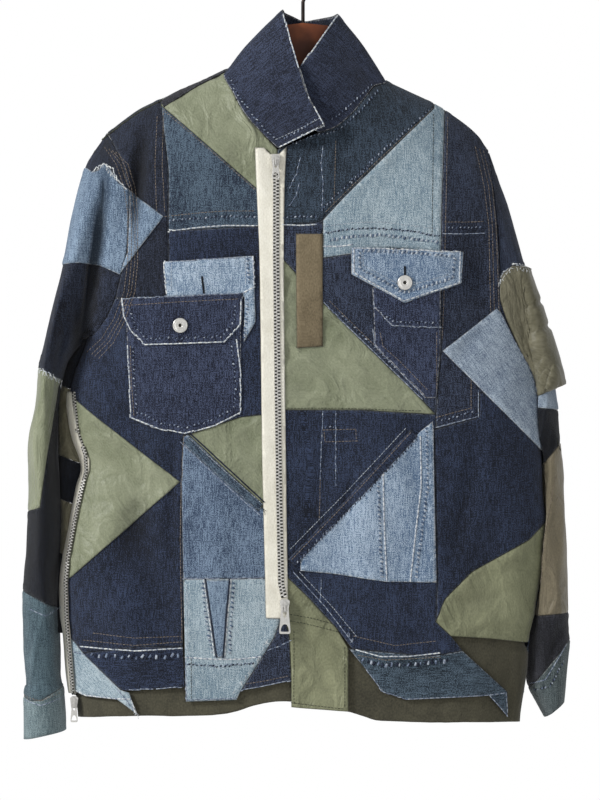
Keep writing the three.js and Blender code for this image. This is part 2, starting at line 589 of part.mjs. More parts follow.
// A boxy pocket stands off the outside of the left sleeve, open towards it.
function armPocket({ grid, normal }) {
  const stand = (v) => 2 + 7 * smooth(v, 2, 6);
  const backEdge = 55;
  const block = wall(moved(grid, normal, (v) => stand(v) + WALL), moved(grid, normal, 0.5), true);
  const hollow = wall(moved(grid, normal, stand), moved(grid, normal, -3), true);
  const bodies = block.intersect(prism(ARM_POCKET, -REACH, backEdge))
    .subtract(beyondArmhole(LEFT_ARMHOLE, 1))
    .subtract(hollow.intersect(prism(inset(ARM_POCKET, WALL), -REACH, backEdge - WALL)))
    .simplify(FACETING).decompose();
  // The largest is on the outside of the arm; the other is on the inside, against the body.
  return bodies.sort((a, b) => b.volume() - a.volume())[0];
}
addSolid('left_sleeve_pocket', armPocket(leftArm), clothMaterials.olive);

// ---------------------------------------------------------------- buttons
function addButton(name, x, z, lift) {
  const profile = [[1.4, 0], [7.6, 0], [8.3, 0.8], [8.3, 1.8], [7, 2.6], [5, 2.6], [3.4, 1.4],
    [1.4, 1.8], [1.4, 0]];
  const geometry = new THREE.LatheGeometry(profile.map(([r, h]) => new THREE.Vector2(r, h)), 18);
  const solid = fromGeometry(geometry);
  const { vertProperties, triVerts } = solid.getMesh();
  const turned = new THREE.BufferGeometry();
  turned.setAttribute('position', new THREE.Float32BufferAttribute(vertProperties, 3));
  turned.setIndex([...triVerts]);
  const mesh = addGeometry(name, turned, metal);
  mesh.rotation.x = Math.PI;
  mesh.position.set(x, frontY(x, z) - lift, z);
}
addButton('right_button', -135, -406, LAYER_FOOT[2] + WALL + 0.9);
addButton('left_button', 112, -359, LAYER_FOOT[3] + WALL + 0.9);

// ---------------------------------------------------------------- zip sliders and pull tabs
const SLIDER_FACE = 2; // from the slider's middle to its front face
const BAR_OFF = 3.4; // from the slider's middle to the pull tab's bar
const BAR = 0.8; // the bar's radius

// A rounded plate with a bail, the arch that holds the pull tab's bar.
function slider(width, height) {
  const w = width / 2;
  const h = height / 2;
  const plate = [[-w, h - 2], [-w + 2, h], [w - 2, h], [w, h - 2], [w * 0.7, -h], [-w * 0.7, -h]];
  const bail = 5.2;
  const strap = BAR_OFF + 2.4;
  const arch = new THREE.Shape([[-bail, SLIDER_FACE - 0.5], [-bail, strap], [bail, strap],
    [bail, SLIDER_FACE - 0.5]].map(([z, out]) => new THREE.Vector2(z, out)));
  const window = new THREE.Path([[-bail + 1.3, SLIDER_FACE - 0.4], [bail - 1.3, SLIDER_FACE - 0.4],
    [bail - 1.3, strap - 1.2], [-bail + 1.3, strap - 1.2]].map(([z, out]) => new THREE.Vector2(z, out)));
  arch.holes.push(window);
  const strapGeometry = new THREE.ExtrudeGeometry(arch, { depth: 1.6, bevelEnabled: false });
  strapGeometry.translate(0, 0, -0.8);
  // Shape X is the slider's height, shape Y points out to the front, depth runs across.
  strapGeometry.applyMatrix4(new THREE.Matrix4().makeBasis(vec(0, 0, 1), vec(0, -1, 0), vec(1, 0, 0)));
  return prism(plate, -SLIDER_FACE, SLIDER_FACE).add(fromGeometry(strapGeometry));
}

// A flat tab that hangs from its bar at the origin, with a slot for the bail and a finger hole.
function pullTab(width, length, hole) {
  const w = width / 2;
  const slot = 1.5;
  const slotEnd = 7;
  const arc = (radius, from, to, steps) => Array.from({ length: steps }, (_, i) => {
    const angle = lerp(from, to, i / steps);
    return [radius * Math.cos(angle), w - length + radius * Math.sin(angle)];
  });
  const outline = [[-w * 0.62, BAR], [w * 0.62, BAR], ...arc(w, 0, -1.001 * Math.PI, 12)];
  return prism(outline, -BAR, BAR)
    .subtract(prism([[-slot, -BAR], [slot, -BAR], [slot, -slotEnd], [-slot, -slotEnd]]))
    .subtract(prism(arc(hole, 0, 2 * Math.PI, 14)));
}

// Each: name, x and z of its middle, height above the cloth, slider and tab sizes.
const SLIDERS = [
  ['front_top', -30, -224, 4.6, [10, 13], [9, 21, 2.6]],
  ['front_bottom', -20, -714, 4.6, [11, 14], [13, 31, 3.8]],
  ['side', -253, -822, 3.6, [9, 13], [8, 22, 2.2]]];
for (const [name, x, z, lift, [width, height], [tabWidth, tabLength, hole]] of SLIDERS) {
  const y = frontY(x, z) - lift;
  const body = addSolid(`${name}_slider`, slider(width, height), metal);
  body.position.set(x, y, z);
  const tab = addSolid(`${name}_pull`, pullTab(tabWidth, tabLength, hole), metal);
  tab.position.set(x, y - BAR_OFF, z);
}

// ---------------------------------------------------------------- hanger
addSolid('hanger_body', prism(HANGER, -HANGER_HALF, HANGER_HALF), wood);

function hangerHook() {
  const radius = 21; // of the wire's centre line; the rod rests inside it
  const thick = 2;
  const centre = -19;
  const path = new THREE.CurvePath();
  path.add(new THREE.LineCurve3(vec(0, 0, -69.5), vec(0, 0, -47)));
  const start = -Math.PI / 3;
  const foot = vec(radius * Math.cos(start), 0, centre + radius * Math.sin(start));
  path.add(new THREE.CubicBezierCurve3(vec(0, 0, -47), vec(0, 0, -42), vec(4, 0, foot.z - 2), foot));
  for (let i = 0; i < 12; i += 1) {
    const angle = (k) => start + ((k / 12) * 275 * Math.PI) / 180;
    const at = (k) => vec(radius * Math.cos(angle(k)), 0, centre + radius * Math.sin(angle(k)));
    path.add(new THREE.LineCurve3(at(i), at(i + 1)));
  }
  const round = new THREE.Shape();
  round.absarc(0, 0, thick, 0, 2 * Math.PI, false);
  return new THREE.ExtrudeGeometry(round, { steps: 30, extrudePath: path, curveSegments: 4,
    bevelEnabled: false });
}
addGeometry('hanger_hook', hangerHook(), wire);

export default jacket;
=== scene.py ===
# %% [markdown]
# # A patched denim jacket on its hanger
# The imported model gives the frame: every piece below is laid on the same front, back and
# sleeve surfaces that the solids were cut from, only much finer, so nothing needs fitting.
# Lengths in the lists are millimetres, because a cutter works in them, and they become
# metres when a piece's mesh is written.

# %% Load the frame
import math
import random

import bmesh
import bpy
import numpy as np
from mathutils import Matrix, Vector, noise
from mathutils.bvhtree import BVHTree


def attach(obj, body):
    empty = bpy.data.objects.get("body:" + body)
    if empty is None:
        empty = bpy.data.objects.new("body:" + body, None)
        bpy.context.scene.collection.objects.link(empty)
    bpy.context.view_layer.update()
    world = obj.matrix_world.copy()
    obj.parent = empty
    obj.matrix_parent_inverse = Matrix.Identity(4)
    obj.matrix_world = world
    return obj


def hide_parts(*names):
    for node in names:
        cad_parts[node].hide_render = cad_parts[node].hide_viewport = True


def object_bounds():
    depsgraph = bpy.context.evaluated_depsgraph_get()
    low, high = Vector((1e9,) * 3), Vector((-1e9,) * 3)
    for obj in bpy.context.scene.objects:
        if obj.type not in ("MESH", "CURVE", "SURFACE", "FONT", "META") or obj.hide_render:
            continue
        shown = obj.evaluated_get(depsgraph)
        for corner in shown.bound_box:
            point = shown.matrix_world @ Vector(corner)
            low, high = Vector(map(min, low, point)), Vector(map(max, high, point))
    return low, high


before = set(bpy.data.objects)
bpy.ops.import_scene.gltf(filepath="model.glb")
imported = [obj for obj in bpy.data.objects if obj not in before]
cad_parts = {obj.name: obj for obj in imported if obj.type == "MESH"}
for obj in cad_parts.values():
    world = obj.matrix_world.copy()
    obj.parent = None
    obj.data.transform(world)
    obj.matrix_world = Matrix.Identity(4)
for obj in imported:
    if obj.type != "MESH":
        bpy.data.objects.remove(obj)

MM = 0.001
random.seed(4)
cad_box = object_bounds()
print("frame:", len(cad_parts), "nodes,", [round(v, 3) for v in cad_box[0]])

# %% [markdown]
# ## Camera, light and floor
# The jacket is seen straight from the front and from far away, so that its outline stays
# flat. Large soft lights and a bright surrounding show cloth best: a small hard light
# would make every crease black. The floor is a plain pale sheet a little under the hem.

# %% Camera
def add_camera(distance=6.0, shown_height=0.88):
    data = bpy.data.cameras.new("camera")
    data.sensor_fit = "VERTICAL"
    data.sensor_height = 24
    data.lens = 24 * distance / shown_height
    camera = bpy.data.objects.new("camera", data)
    camera.location = (-0.0033, -0.05 - distance, -0.488)
    camera.rotation_euler = (math.pi / 2, 0, 0)
    bpy.context.scene.collection.objects.link(camera)
    bpy.context.scene.camera = camera
    return camera


add_camera()

# %% Lights
def add_area(name, place, size, power, aim=(0, 0, -0.45)):
    data = bpy.data.lights.new(name, "AREA")
    data.shape = "RECTANGLE"
    data.size, data.size_y = size
    data.energy = power
    light = bpy.data.objects.new(name, data)
    light.location = place
    light.rotation_euler = (Vector(aim) - Vector(place)).to_track_quat("-Z", "Y").to_euler()
    bpy.context.scene.collection.objects.link(light)


add_area("key", (-3.3, -1.9, 1.3), (0.9, 0.9), 150)
add_area("fill", (1.8, -3.9, 0.2), (2.2, 2.2), 27)
add_area("rear", (0.5, 3.6, 1.6), (2.4, 2.4), 40)

world = bpy.data.worlds.new("surrounding")
world.use_nodes = True
bpy.context.scene.world = world
sky = world.node_tree
for old in list(sky.nodes):
    sky.nodes.remove(old)
shown = sky.nodes.new("ShaderNodeBackground")
shown.inputs["Color"].default_value = (1, 1, 1, 1)
shown.inputs["Strength"].default_value = 1.0
lit = sky.nodes.new("ShaderNodeBackground")
lit.inputs["Color"].default_value = (0.97, 0.985, 1, 1)
lit.inputs["Strength"].default_value = 0.4
path = sky.nodes.new("ShaderNodeLightPath")
choose = sky.nodes.new("ShaderNodeMixShader")
leave = sky.nodes.new("ShaderNodeOutputWorld")
sky.links.new(path.outputs["Is Camera Ray"], choose.inputs[0])
sky.links.new(lit.outputs[0], choose.inputs[1])
sky.links.new(shown.outputs[0], choose.inputs[2])
sky.links.new(choose.outputs[0], leave.inputs["Surface"])
bpy.context.scene.view_settings.view_transform = "Standard"

# %% Floor
def link(name, mesh):
    piece = bpy.data.objects.new(name, mesh)
    bpy.context.scene.collection.objects.link(piece)
    return piece


def to_mesh(name, bm):
    mesh = bpy.data.meshes.new(name)
    bm.to_mesh(mesh)
    bm.free()
    return mesh


bm = bmesh.new()
bmesh.ops.create_grid(bm, x_segments=4, y_segments=4, size=2.6,
                      matrix=Matrix.Translation((0, 0, cad_box[0][2] - 0.35)))
floor = link("floor", to_mesh("floor", bm))

# %% [markdown]
# ## The shape of the hanging cloth
# A cutter's outline is flat, and the cloth that it's cut from hangs as a shell. So the
# shell comes first, as a few smooth curves: the side seams, the shoulder line and how
# full the front and back are. Each patch is later cut from the shell along its outline,
# as a patch is cut from cloth, and neighbours meet exactly because they share it.

# %% Curves of the outline
SHOULDER_LINE = [
    (-217, -192), (-198, -177), (-179, -164), (-141, -147), (-113, -135), (-88, -123), (-64, -112),
    (-36, -99), (0, -92), (46, -106), (91, -133), (118, -146), (141, -157), (173, -177), (195, -196),
    (206, -214)]
RIGHT_SIDE = [
    (-217, -192), (-234, -213), (-249, -268), (-253, -323), (-249, -378), (-239, -420), (-250, -450),
    (-258, -479), (-258, -504), (-253, -530), (-245, -552), (-243, -566), (-248, -583), (-254, -612),
    (-258, -635), (-264, -665), (-267, -690), (-266, -728), (-263, -748), (-260, -788), (-256, -818),
    (-253, -851)]
LEFT_SIDE = [
    (206, -214), (220, -240), (232, -279), (239, -334), (243, -389), (251, -433), (261, -478),
    (263, -490), (265, -541), (266, -594), (270, -622), (267, -664), (258, -719), (251, -750),
    (248, -788), (241, -834), (240, -851)]
RIGHT_ARMHOLE = [
    (-217, -192), (-201, -222), (-192, -255), (-194, -325), (-199, -343), (-207, -376), (-216, -396),
    (-229, -413), (-239, -420)]
LEFT_ARMHOLE = [
    (206, -214), (210, -249), (214, -288), (217, -336), (218, -390), (234, -424), (251, -453),
    (261, -478)]
HEM_LINE = [
    (-253, -839), (-186, -836), (-89, -834), (-43, -822), (-13, -820), (50, -831), (85, -841),
    (186, -843), (240, -844)]


def through(points, value=0, key=1):
    """A smooth curve through points, read at any number or array of keys."""
    pairs = sorted((p[key], p[value]) for p in points)
    k = np.array([p[0] for p in pairs], float)
    v = np.array([p[1] for p in pairs], float)
    last = len(k) - 1
    before, after = np.maximum(np.arange(last + 1) - 1, 0), np.minimum(np.arange(last + 1) + 1, last)
    slope = (v[after] - v[before]) / (k[after] - k[before])

    def at(x):
        x = np.clip(x, k[0], k[-1])
        i = np.clip(np.searchsorted(k, x) - 1, 0, last - 1)
        h = k[i + 1] - k[i]
        t = (x - k[i]) / h
        return ((2 * t**3 - 3 * t**2 + 1) * v[i] + (t**3 - 2 * t**2 + t) * h * slope[i]
                + (3 * t**2 - 2 * t**3) * v[i + 1] + (t**3 - t**2) * h * slope[i + 1])

    return at


right_side, left_side = through(RIGHT_SIDE), through(LEFT_SIDE)
right_armhole, left_armhole = through(RIGHT_ARMHOLE), through(LEFT_ARMHOLE)
shoulder, hem_line = through(SHOULDER_LINE, 1, 0), through(HEM_LINE, 1, 0)
print("body width at the chest:", round(float(left_side(-400) - right_side(-400))), "mm")

# %% Folds and fullness
# A fold runs from one point to another with a half width and a height; a trough is negative.
BIG_FOLDS = [
    (-176, -172, -188, -318, 9, -13), (-204, -212, -196, -330, 7, 3), (-90, -540, -98, -800, 26, 6),
    (-205, -520, -150, -790, 22, -6),
    (180, -230, 196, -420, 18, -6), (90, -470, 60, -760, 30, 5), (215, -560, 180, -790, 24, -6)]
SMALL_FOLDS = [
    (-200, -300, -186, -470, 10, 2.6), (-218, -430, -176, -560, 11, -2.4), (-250, -560, -170, -520, 8, 2.0),
    (-255, -640, -160, -575, 9, 2.4), (-250, -600, -175, -600, 7, -1.6), (-240, -700, -150, -720, 16, 2.0),
    (-160, -560, -222, -700, 16, -4), (-142, -480, -146, -690, 8, -3),
    (-190, -440, -182, -520, 7, -2.5), (60, -560, 40, -640, 9, -3.5), (100, -450, 118, -500, 8, -2.5),
    (-60, -140, -40, -290, 8, 1.6), (10, -215, -8, -290, 5, 1.5), (35, -210, 22, -285, 5, 1.4),
    (60, -170, 30, -260, 9, -1.8), (120, -180, 60, -260, 12, 1.6), (190, -210, 176, -330, 10, 2.4),
    (196, -520, 160, -690, 12, -5), (214, -380, 150, -470, 10, -2.4), (238, -430, 196, -560, 12, 2.6),
    (20, -345, 110, -440, 8, 1.8),
    (-10, -400, 60, -480, 9, -1.6), (30, -520, 10, -640, 10, -2.0), (100, -520, 120, -640, 12, 2.2),
    (160, -700, 262, -650, 8, 2.6), (165, -715, 265, -690, 7, -2.2), (175, -735, 255, -728, 6, 2.0),
    (-14, -690, 40, -770, 7, 2.6), (-12, -720, 36, -810, 7, -2.4), (0, -700, 30, -740, 4, 1.6),
    (-150, -400, -130, -500, 14, 1.6), (-110, -540, -60, -590, 8, 1.6), (-60, -620, -50, -740, 10, 2.0),
    (-200, -740, -140, -780, 10, 1.8), (110, -700, 90, -820, 12, 2.4), (160, -760, 150, -830, 8, -1.8)]


def rise(s):
    return np.sqrt(1 - (1 - np.clip(s, 0, 1)) ** 2)


def smooth(x, low, high):
    t = np.clip((x - low) / (high - low), 0, 1)
    return t * t * (3 - 2 * t)


def middle(z):
    return -6 * smooth(-z, 150, 450)


def fullness(x, z):
    return (rise((x - right_side(z)) / 110) * rise((left_side(z) - x) / 110)
            * rise((shoulder(x) - z) / 100))


def fold_height(x, z, folds):
    height = np.zeros_like(x)
    for x1, z1, x2, z2, width, rising in folds:
        along = ((x - x1) * (x2 - x1) + (z - z1) * (z2 - z1)) / ((x2 - x1) ** 2 + (z2 - z1) ** 2)
        t = np.clip(along, 0, 1)
        off = np.hypot(x - x1 - t * (x2 - x1), z - z1 - t * (z2 - z1))
        height += rising * np.sin(math.pi * np.clip(along, 0.02, 0.98)) * np.exp(-((off / width) ** 2))
    return height


def uneven(x, z, size, seed):
    """Soft bumps of about this size, from -1 to 1, the same on every run."""
    flat = [noise.noise(Vector((a / size, seed, b / size))) for a, b in zip(x.ravel(), z.ravel())]
    return np.array(flat).reshape(x.shape)


def ripple(x, z, seed):
    return (1.7 * uneven(x, 0.6 * z, 62, seed) + 0.9 * uneven(x + 0.5 * z, z, 26, seed + 3)
            + 0.35 * uneven(x, z, 11, seed + 7))


def front_y(x, z):
    folds = fold_height(x, z, BIG_FOLDS) + fold_height(x, z, SMALL_FOLDS)
    return middle(z) - fullness(x, z) * (45 + folds + 1.3 * ripple(x, z, 1.5)) - 0.15


BACK_FOLDS = [
    (-120, -330, -135, -520, 20, 5), (110, -320, 132, -540, 20, 5), (0, -330, 6, -560, 22, -6),
    (-206, -400, -90, -500, 12, 4.5), (208, -450, 100, -540, 12, 4.5), (-214, -430, -110, -560, 10, -4),
    (216, -490, 120, -600, 10, -4), (-60, -560, -70, -800, 22, 6), (90, -560, 80, -800, 22, 6),
    (-190, -560, -170, -800, 18, -6), (190, -560, 170, -800, 18, -6), (14, -600, 2, -780, 14, -5),
    (-186, -230, -150, -310, 10, -5), (190, -240, 160, -320, 10, -5), (-150, -200, -60, -240, 10, 3),
    (150, -205, 70, -250, 10, 3), (-240, -640, -130, -610, 8, 3.5), (246, -660, 140, -630, 8, 3.5)]


def back_y(x, z):
    folds = fold_height(x, z, BACK_FOLDS)
    return middle(z) + fullness(x, z) * (38 + folds + ripple(x, z, 21.5)) + 0.15


# %% Shells of the front and back
def body_place(surface_y):
    """Where a point of the shell is, from how far across and how far down it is, 0 to 1."""
    def place(across, down):
        s, t = (1 - np.cos(math.pi * across)) / 2, down**1.25
        x, z = np.zeros_like(across), np.full_like(across, -400.0)
        for _ in range(14):
            z = shoulder(x) + (-851 - shoulder(x)) * t
            x = right_side(z) + (left_side(z) - right_side(z)) * s
        return np.stack([x, surface_y(x, z), z], -1)

    return place


def body_cut(xyz, across, down):
    """Flat pattern coordinates: a little longer each way than the shell looks, for its depth."""
    deep = np.abs(xyz[:, 1] - middle(xyz[:, 2]))
    side = np.where(across < 0.5, -1, 1)
    over_shoulder = 17.5 * np.sqrt(rise((shoulder(xyz[:, 0]) - xyz[:, 2]) / 100))
    return xyz[:, 0] + side * 0.6 * (40 - deep), xyz[:, 2] - over_shoulder


def make_shell(columns, rows, place, flat_pattern, outward, flat_rim=False, folds=(), back=False):
    """A fine grid laid on a surface, which remembers its normals and its flat pattern."""
    bm = bmesh.new()
    bmesh.ops.create_grid(bm, x_segments=columns, y_segments=rows, size=0.5)
    across = np.array([v.co.x + 0.5 for v in bm.verts])
    down = np.array([0.5 - v.co.y for v in bm.verts])
    xyz = place(across, down)
    step = 0.002
    a0, a1 = np.clip(across - step, 0, 1), np.clip(across + step, 0, 1)
    d0, d1 = np.clip(down - step, 0, 1), np.clip(down + step, 0, 1)
    out = np.cross(place(a1, down) - place(a0, down), place(across, d1) - place(across, d0))
    out *= outward
    if outward > 0:
        bmesh.ops.reverse_faces(bm, faces=bm.faces[:])
    if flat_rim:
        rim = (across < 0.001) | (across > 0.999) | (down < 0.001)
        out[rim, 1] = 0
    out /= np.maximum(np.linalg.norm(out, axis=1, keepdims=True), 1e-9)
    u, v = flat_pattern(xyz, across, down)
    # fold: how deep a fold's trough lies there, up to 1. The cloths darken by it as painted shade in the
    # folds; in denim it is partly also the darker dye that washing leaves in troughs.
    deep = np.clip(-fold_height(xyz[:, 0], xyz[:, 2], folds) / 11, -0.4, 1)
    if not back:
        deep = deep * (xyz[:, 1] < middle(xyz[:, 2]))
    layers = [bm.verts.layers.float_vector.new("out"), bm.verts.layers.float.new("cut_u"),
              bm.verts.layers.float.new("cut_v"), bm.verts.layers.float.new("fold")]
    for i, vert in enumerate(bm.verts):
        vert.co = xyz[i]
        vert[layers[0]] = Vector(out[i])
        vert[layers[1]] = float(u[i])
        vert[layers[2]] = float(v[i])
        vert[layers[3]] = float(deep[i])
    return bm


shells = {
    "front": make_shell(176, 230, body_place(front_y), body_cut, -1, True, BIG_FOLDS + SMALL_FOLDS),
    "back": make_shell(110, 140, body_place(back_y), body_cut, 1, True, BACK_FOLDS, True)}
for name, shell in shells.items():
    print(name, "shell:", len(shell.faces), "faces")

# %% [markdown]
# ## Sleeves
# A sleeve is a tube, set into the armhole. It is lofted from rings: the first lies on the
# armhole's own edge, and the others are soft ovals that hang beside the body and slightly
# behind it. Creases are moves of the surface towards or away from the ring's middle.

# %% Sleeve shells
# Ring by ring: outer x, z; inner x, z; half depth; middle y.
RIGHT_SLEEVE = [
    (-217, -192, -239, -420, 38, -3), (-241, -230, -243, -425, 46, 3), (-255, -281, -249, -431, 54, 6),
    (-266, -338, -254, -437, 60, 9), (-276, -378, -260, -446, 64, 12), (-284, -411, -264, -458, 66, 14),
    (-293, -451, -268, -476, 66, 16), (-297, -494, -270, -505, 64, 17), (-304, -538, -270, -543, 62, 18),
    (-305, -587, -268, -589, 60, 18), (-307, -642, -268, -643, 57, 18), (-311, -699, -271, -708, 54, 17),
    (-311, -752, -270, -758, 51, 16), (-307, -800, -269, -800, 49, 15), (-310, -811, -266, -809, 49, 14),
    (-310, -864, -263, -854, 49, 13)]
LEFT_SLEEVE = [
    (206, -214, 261, -478, 34, -3), (217, -244, 264, -484, 42, 6), (230, -281, 266, -490, 50, 14),
    (244, -330, 266, -498, 57, 22), (257, -369, 262, -508, 61, 28), (268, -411, 256, -520, 63, 33),
    (277, -451, 251, -532, 64, 36), (283, -494, 248, -548, 63, 38), (287, -539, 247, -570, 61, 38),
    (290, -587, 247, -602, 59, 38), (294, -648, 247, -650, 56, 36), (295, -708, 248, -708, 53, 32),
    (296, -746, 249, -774, 50, 28), (296, -763, 250, -805, 49, 26), (291, -822, 268, -840, 48, 24)]
# Creases: turn in degrees (0 outside, 90 front), ring, spread of each, height, slant.
RIGHT_CREASES = [
    (38, 2.0, 16, 1.6, 4, 0), (108, 4.4, 20, 1.3, -6, 0),
    (62, 4.2, 16, 1.2, 3, 0), (70, 5.6, 30, 0.35, 4, 12), (95, 6.4, 40, 0.35, -4, 14),
    (50, 7.2, 36, 0.4, 4, -10), (110, 8.4, 26, 0.8, 3, 10), (60, 9.8, 22, 1.0, -3.5, 0),
    (105, 11.2, 24, 0.6, 3, 14), (70, 12.4, 34, 0.35, 3, -12), (240, 6, 40, 0.5, 5, 10),
    (250, 7.5, 40, 0.5, -4, -8), (270, 9.5, 30, 0.9, 4, 0), (230, 11.5, 36, 0.5, 3, 10),
    (280, 3, 20, 1.4, 4, 0)]
LEFT_CREASES = [
    (60, 1.6, 16, 1.2, 3, 0), (70, 6.2, 30, 0.35, 3, 12), (60, 7.4, 36, 0.4, 3.5, -10),
    (95, 8.6, 34, 0.5, -4, 14), (40, 9.6, 30, 0.5, 3, 12), (70, 10.8, 30, 0.5, 3, -10),
    (60, 11.8, 24, 0.4, -3, 0),
    (240, 6, 40, 0.5, 5, 10), (250, 7.5, 40, 0.5, -4, -8), (270, 9.5, 30, 0.9, 4, 0),
    (230, 11.2, 36, 0.5, 3, 10), (280, 3, 20, 1.4, 4, 0)]


# Long folds seen from the front, as on the body.
RIGHT_SLEEVE_FOLDS = [
    (-212, -212, -246, -470, 7, -19), (-250, -360, -242, -500, 8, -12),
    (-238, -250, -262, -420, 9, 4), (-282, -640, -262, -760, 7, -5), (-300, -480, -292, -600, 6, 4),
    (-272, -440, -276, -640, 8, -9), (-262, -620, -268, -800, 8, -5), (-230, -230, -215, -300, 6, 4)]
LEFT_SLEEVE_FOLDS = [(262, -520, 266, -610, 6, -4), (272, -600, 258, -720, 7, 4),
    (286, -730, 268, -800, 6, -4)]


def sleeve_place(rings, armhole, side, underarm, creases, folds):
    numbered = [(i, *ring) for i, ring in enumerate(rings)]
    columns = [through(numbered, k, 0) for k in range(1, 7)]
    last = len(rings) - 1

    def oval(parts, turn):
        out_x, out_z, in_x, in_z, half, centre = parts
        c, s = np.cos(turn), np.sin(turn)
        t = (1 - np.sign(c) * np.abs(c) ** 0.85) / 2
        deep = half * np.sign(s) * np.abs(s) ** 0.8
        return np.stack([out_x + (in_x - out_x) * t, centre - deep, out_z + (in_z - out_z) * t], -1)

    def place(across, down):
        turn, ring = (across - 0.25) * 2 * math.pi, down * last
        parts = [column(ring) for column in columns]
        p = oval(parts, turn)
        first = [np.full_like(ring, value) for value in rings[0]]
        z = rings[0][1] + (rings[0][3] - rings[0][1]) * (1 - np.cos(turn)) / 2
        x = armhole(z)
        seam = np.stack([x + side * 0.5, np.where(np.sin(turn) >= 0, front_y(x, z), back_y(x, z)), z], -1)
        keep = np.interp(ring, [0, 1, 2, 3], [1, 0.62, 0.28, 0])[:, None]
        p = p + keep * (seam - oval(first, turn))
        p[:, 1] += 15 * np.exp(-(((ring - 3) / 2) ** 2)) * np.exp(-(((turn - 1.7) / 0.5) ** 2))
        centre = np.stack([(parts[0] + parts[2]) / 2, parts[5], (parts[1] + parts[3]) / 2], -1)
        push = 0.9 * uneven(across * 160, ring * 40, 26, 8.5 + side) + 0.4 * uneven(across * 160,
            ring * 40, 10, 4.5)
        for degrees, where, wide, long, height, slant in creases:
            off = (np.degrees(turn) - degrees + 180) % 360 - 180
            shifted = ring - where - slant * off / 400
            push = push + height * np.exp(-((off / wide) ** 2) - (shifted / long) ** 2)
        push = push + fold_height(p[:, 0], p[:, 2], folds) * np.clip(2 * np.sin(turn), 0, 1)
        push = push * np.clip(ring / 0.8, 0, 1)
        away = p - centre
        away[:, 2] = 0
        away /= np.maximum(np.linalg.norm(away, axis=1, keepdims=True), 1e-9)
        p = p + away * push[:, None]
        depth = np.where(p[:, 1] < middle(p[:, 2]), 45, 38)
        off = np.abs(p[:, 1] - middle(p[:, 2])) / depth
        inside = 110 * (1 - np.sqrt(1 - np.clip(off, 0, 1) ** 2))
        clear = (off < 1) & (p[:, 2] < underarm + 6) & (ring > 0.2)
        if side < 0:
            p[:, 0] = np.where(clear, np.minimum(p[:, 0], right_side(p[:, 2]) + inside - 6), p[:, 0])
        else:
            p[:, 0] = np.where(clear, np.maximum(p[:, 0], left_side(p[:, 2]) - inside + 6), p[:, 0])
        return p

    outer = through([(ring[0], ring[1]) for ring in rings])
    low = through([(ring[2], ring[3]) for ring in rings])
    half = through([(ring[4], ring[1]) for ring in rings])
    centre = through([(ring[5], ring[1]) for ring in rings])

    def flat_pattern(xyz, across, down):
        """The tube slit at its back and laid flat: level lengths around it, and heights."""
        x, y, z = xyz.T
        inner = np.where(z > underarm, armhole(z), low(z))
        middle_x, wide, deep = (outer(z) + inner) / 2, np.abs(outer(z) - inner) / 2 + 1, half(z)
        turn = np.arctan2((x - middle_x) / wide, (centre(z) - y) / deep)
        expected = -side * (across - 0.5) * 2 * math.pi
        turn += 2 * math.pi * np.round((expected - turn) / (2 * math.pi))
        girth = math.pi * (3 * (wide + deep) - np.sqrt((3 * wide + deep) * (wide + 3 * deep)))
        return middle_x + turn / (2 * math.pi) * girth, z

    return place, flat_pattern


for key, rings, armhole, side, underarm, creases, folds in (
        ("right sleeve", RIGHT_SLEEVE, right_armhole, -1, -420, RIGHT_CREASES, RIGHT_SLEEVE_FOLDS),
        ("left sleeve", LEFT_SLEEVE, left_armhole, 1, -478, LEFT_CREASES, LEFT_SLEEVE_FOLDS)):
    place, flat_pattern = sleeve_place(rings, armhole, side, underarm, creases, folds)
    shells[key] = make_shell(84, 190, place, flat_pattern, side, False, folds)
    print(key, "shell:", len(shells[key].faces), "faces")

# %% [markdown]
# ## Cutting a piece from its shell
# A pair of shears follows the outline, and the rest of the cloth falls away. Bisecting the
# shell along each edge of the outline does the same, and leaves a clean edge wherever it
# runs. Only the faces near an edge are cut, so the grid stays even. A sewn edge then
# rolls: it dips at the seam, stands up over the folded allowance and puckers along it.

# %% Outlines
def inset(outline, distance):
    """The outline with each edge moved inwards, as a stitch line lies inside an edge."""
    n = len(outline)
    area = sum(outline[i][0] * outline[(i + 1) % n][1] - outline[(i + 1) % n][0] * outline[i][1]
               for i in range(n))
    k = math.copysign(distance, area)
    result = []
    for i, (x, z) in enumerate(outline):
        before, after = Vector(outline[i - 1]), Vector(outline[(i + 1) % n])
        a, b = (Vector((x, z)) - before).normalized(), (after - Vector((x, z))).normalized()
        bend = max(1 + a.dot(b), 0.25)
        result.append((x - k * (a.y + b.y) / bend, z + k * (a.x + b.x) / bend))
    return result


def ribbon(points, width):
    """The outline of a strip of even width along a line of points."""
    sides = ([], [])
    for i, point in enumerate(points):
        a = Vector(points[max(i - 1, 0)])
        b = Vector(points[min(i + 1, len(points) - 1)])
        run = (b - a).normalized()
        for k, side in enumerate((1, -1)):
            sides[k].append((point[0] - side * run.y * width / 2, point[1] + side * run.x * width / 2))
    return sides[0] + sides[1][::-1]


def from_edge(points, outline):
    """For each point: how far the outline is, and how far along it the nearest place is."""
    best, where, run = np.full(len(points), 1e9), np.zeros(len(points)), 0.0
    for i, (x1, z1) in enumerate(outline):
        x2, z2 = outline[(i + 1) % len(outline)]
        length = math.hypot(x2 - x1, z2 - z1)
        if length < 1e-6:
            continue
        t = ((points[:, 0] - x1) * (x2 - x1) + (points[:, 1] - z1) * (z2 - z1)) / length**2
        t = np.clip(t, 0, 1)
        off = np.hypot(points[:, 0] - x1 - t * (x2 - x1), points[:, 1] - z1 - t * (z2 - z1))
        nearer = off < best
        best, where = np.where(nearer, off, best), np.where(nearer, run + t * length, where)
        run += length
    return best, where


def is_inside(x, z, outline):
    odd = False
    for i, (x1, z1) in enumerate(outline):
        x2, z2 = outline[i - 1]
        if (z1 > z) != (z2 > z) and x < (x2 - x1) * (z - z1) / (z2 - z1) + x1:
            odd = not odd
    return odd


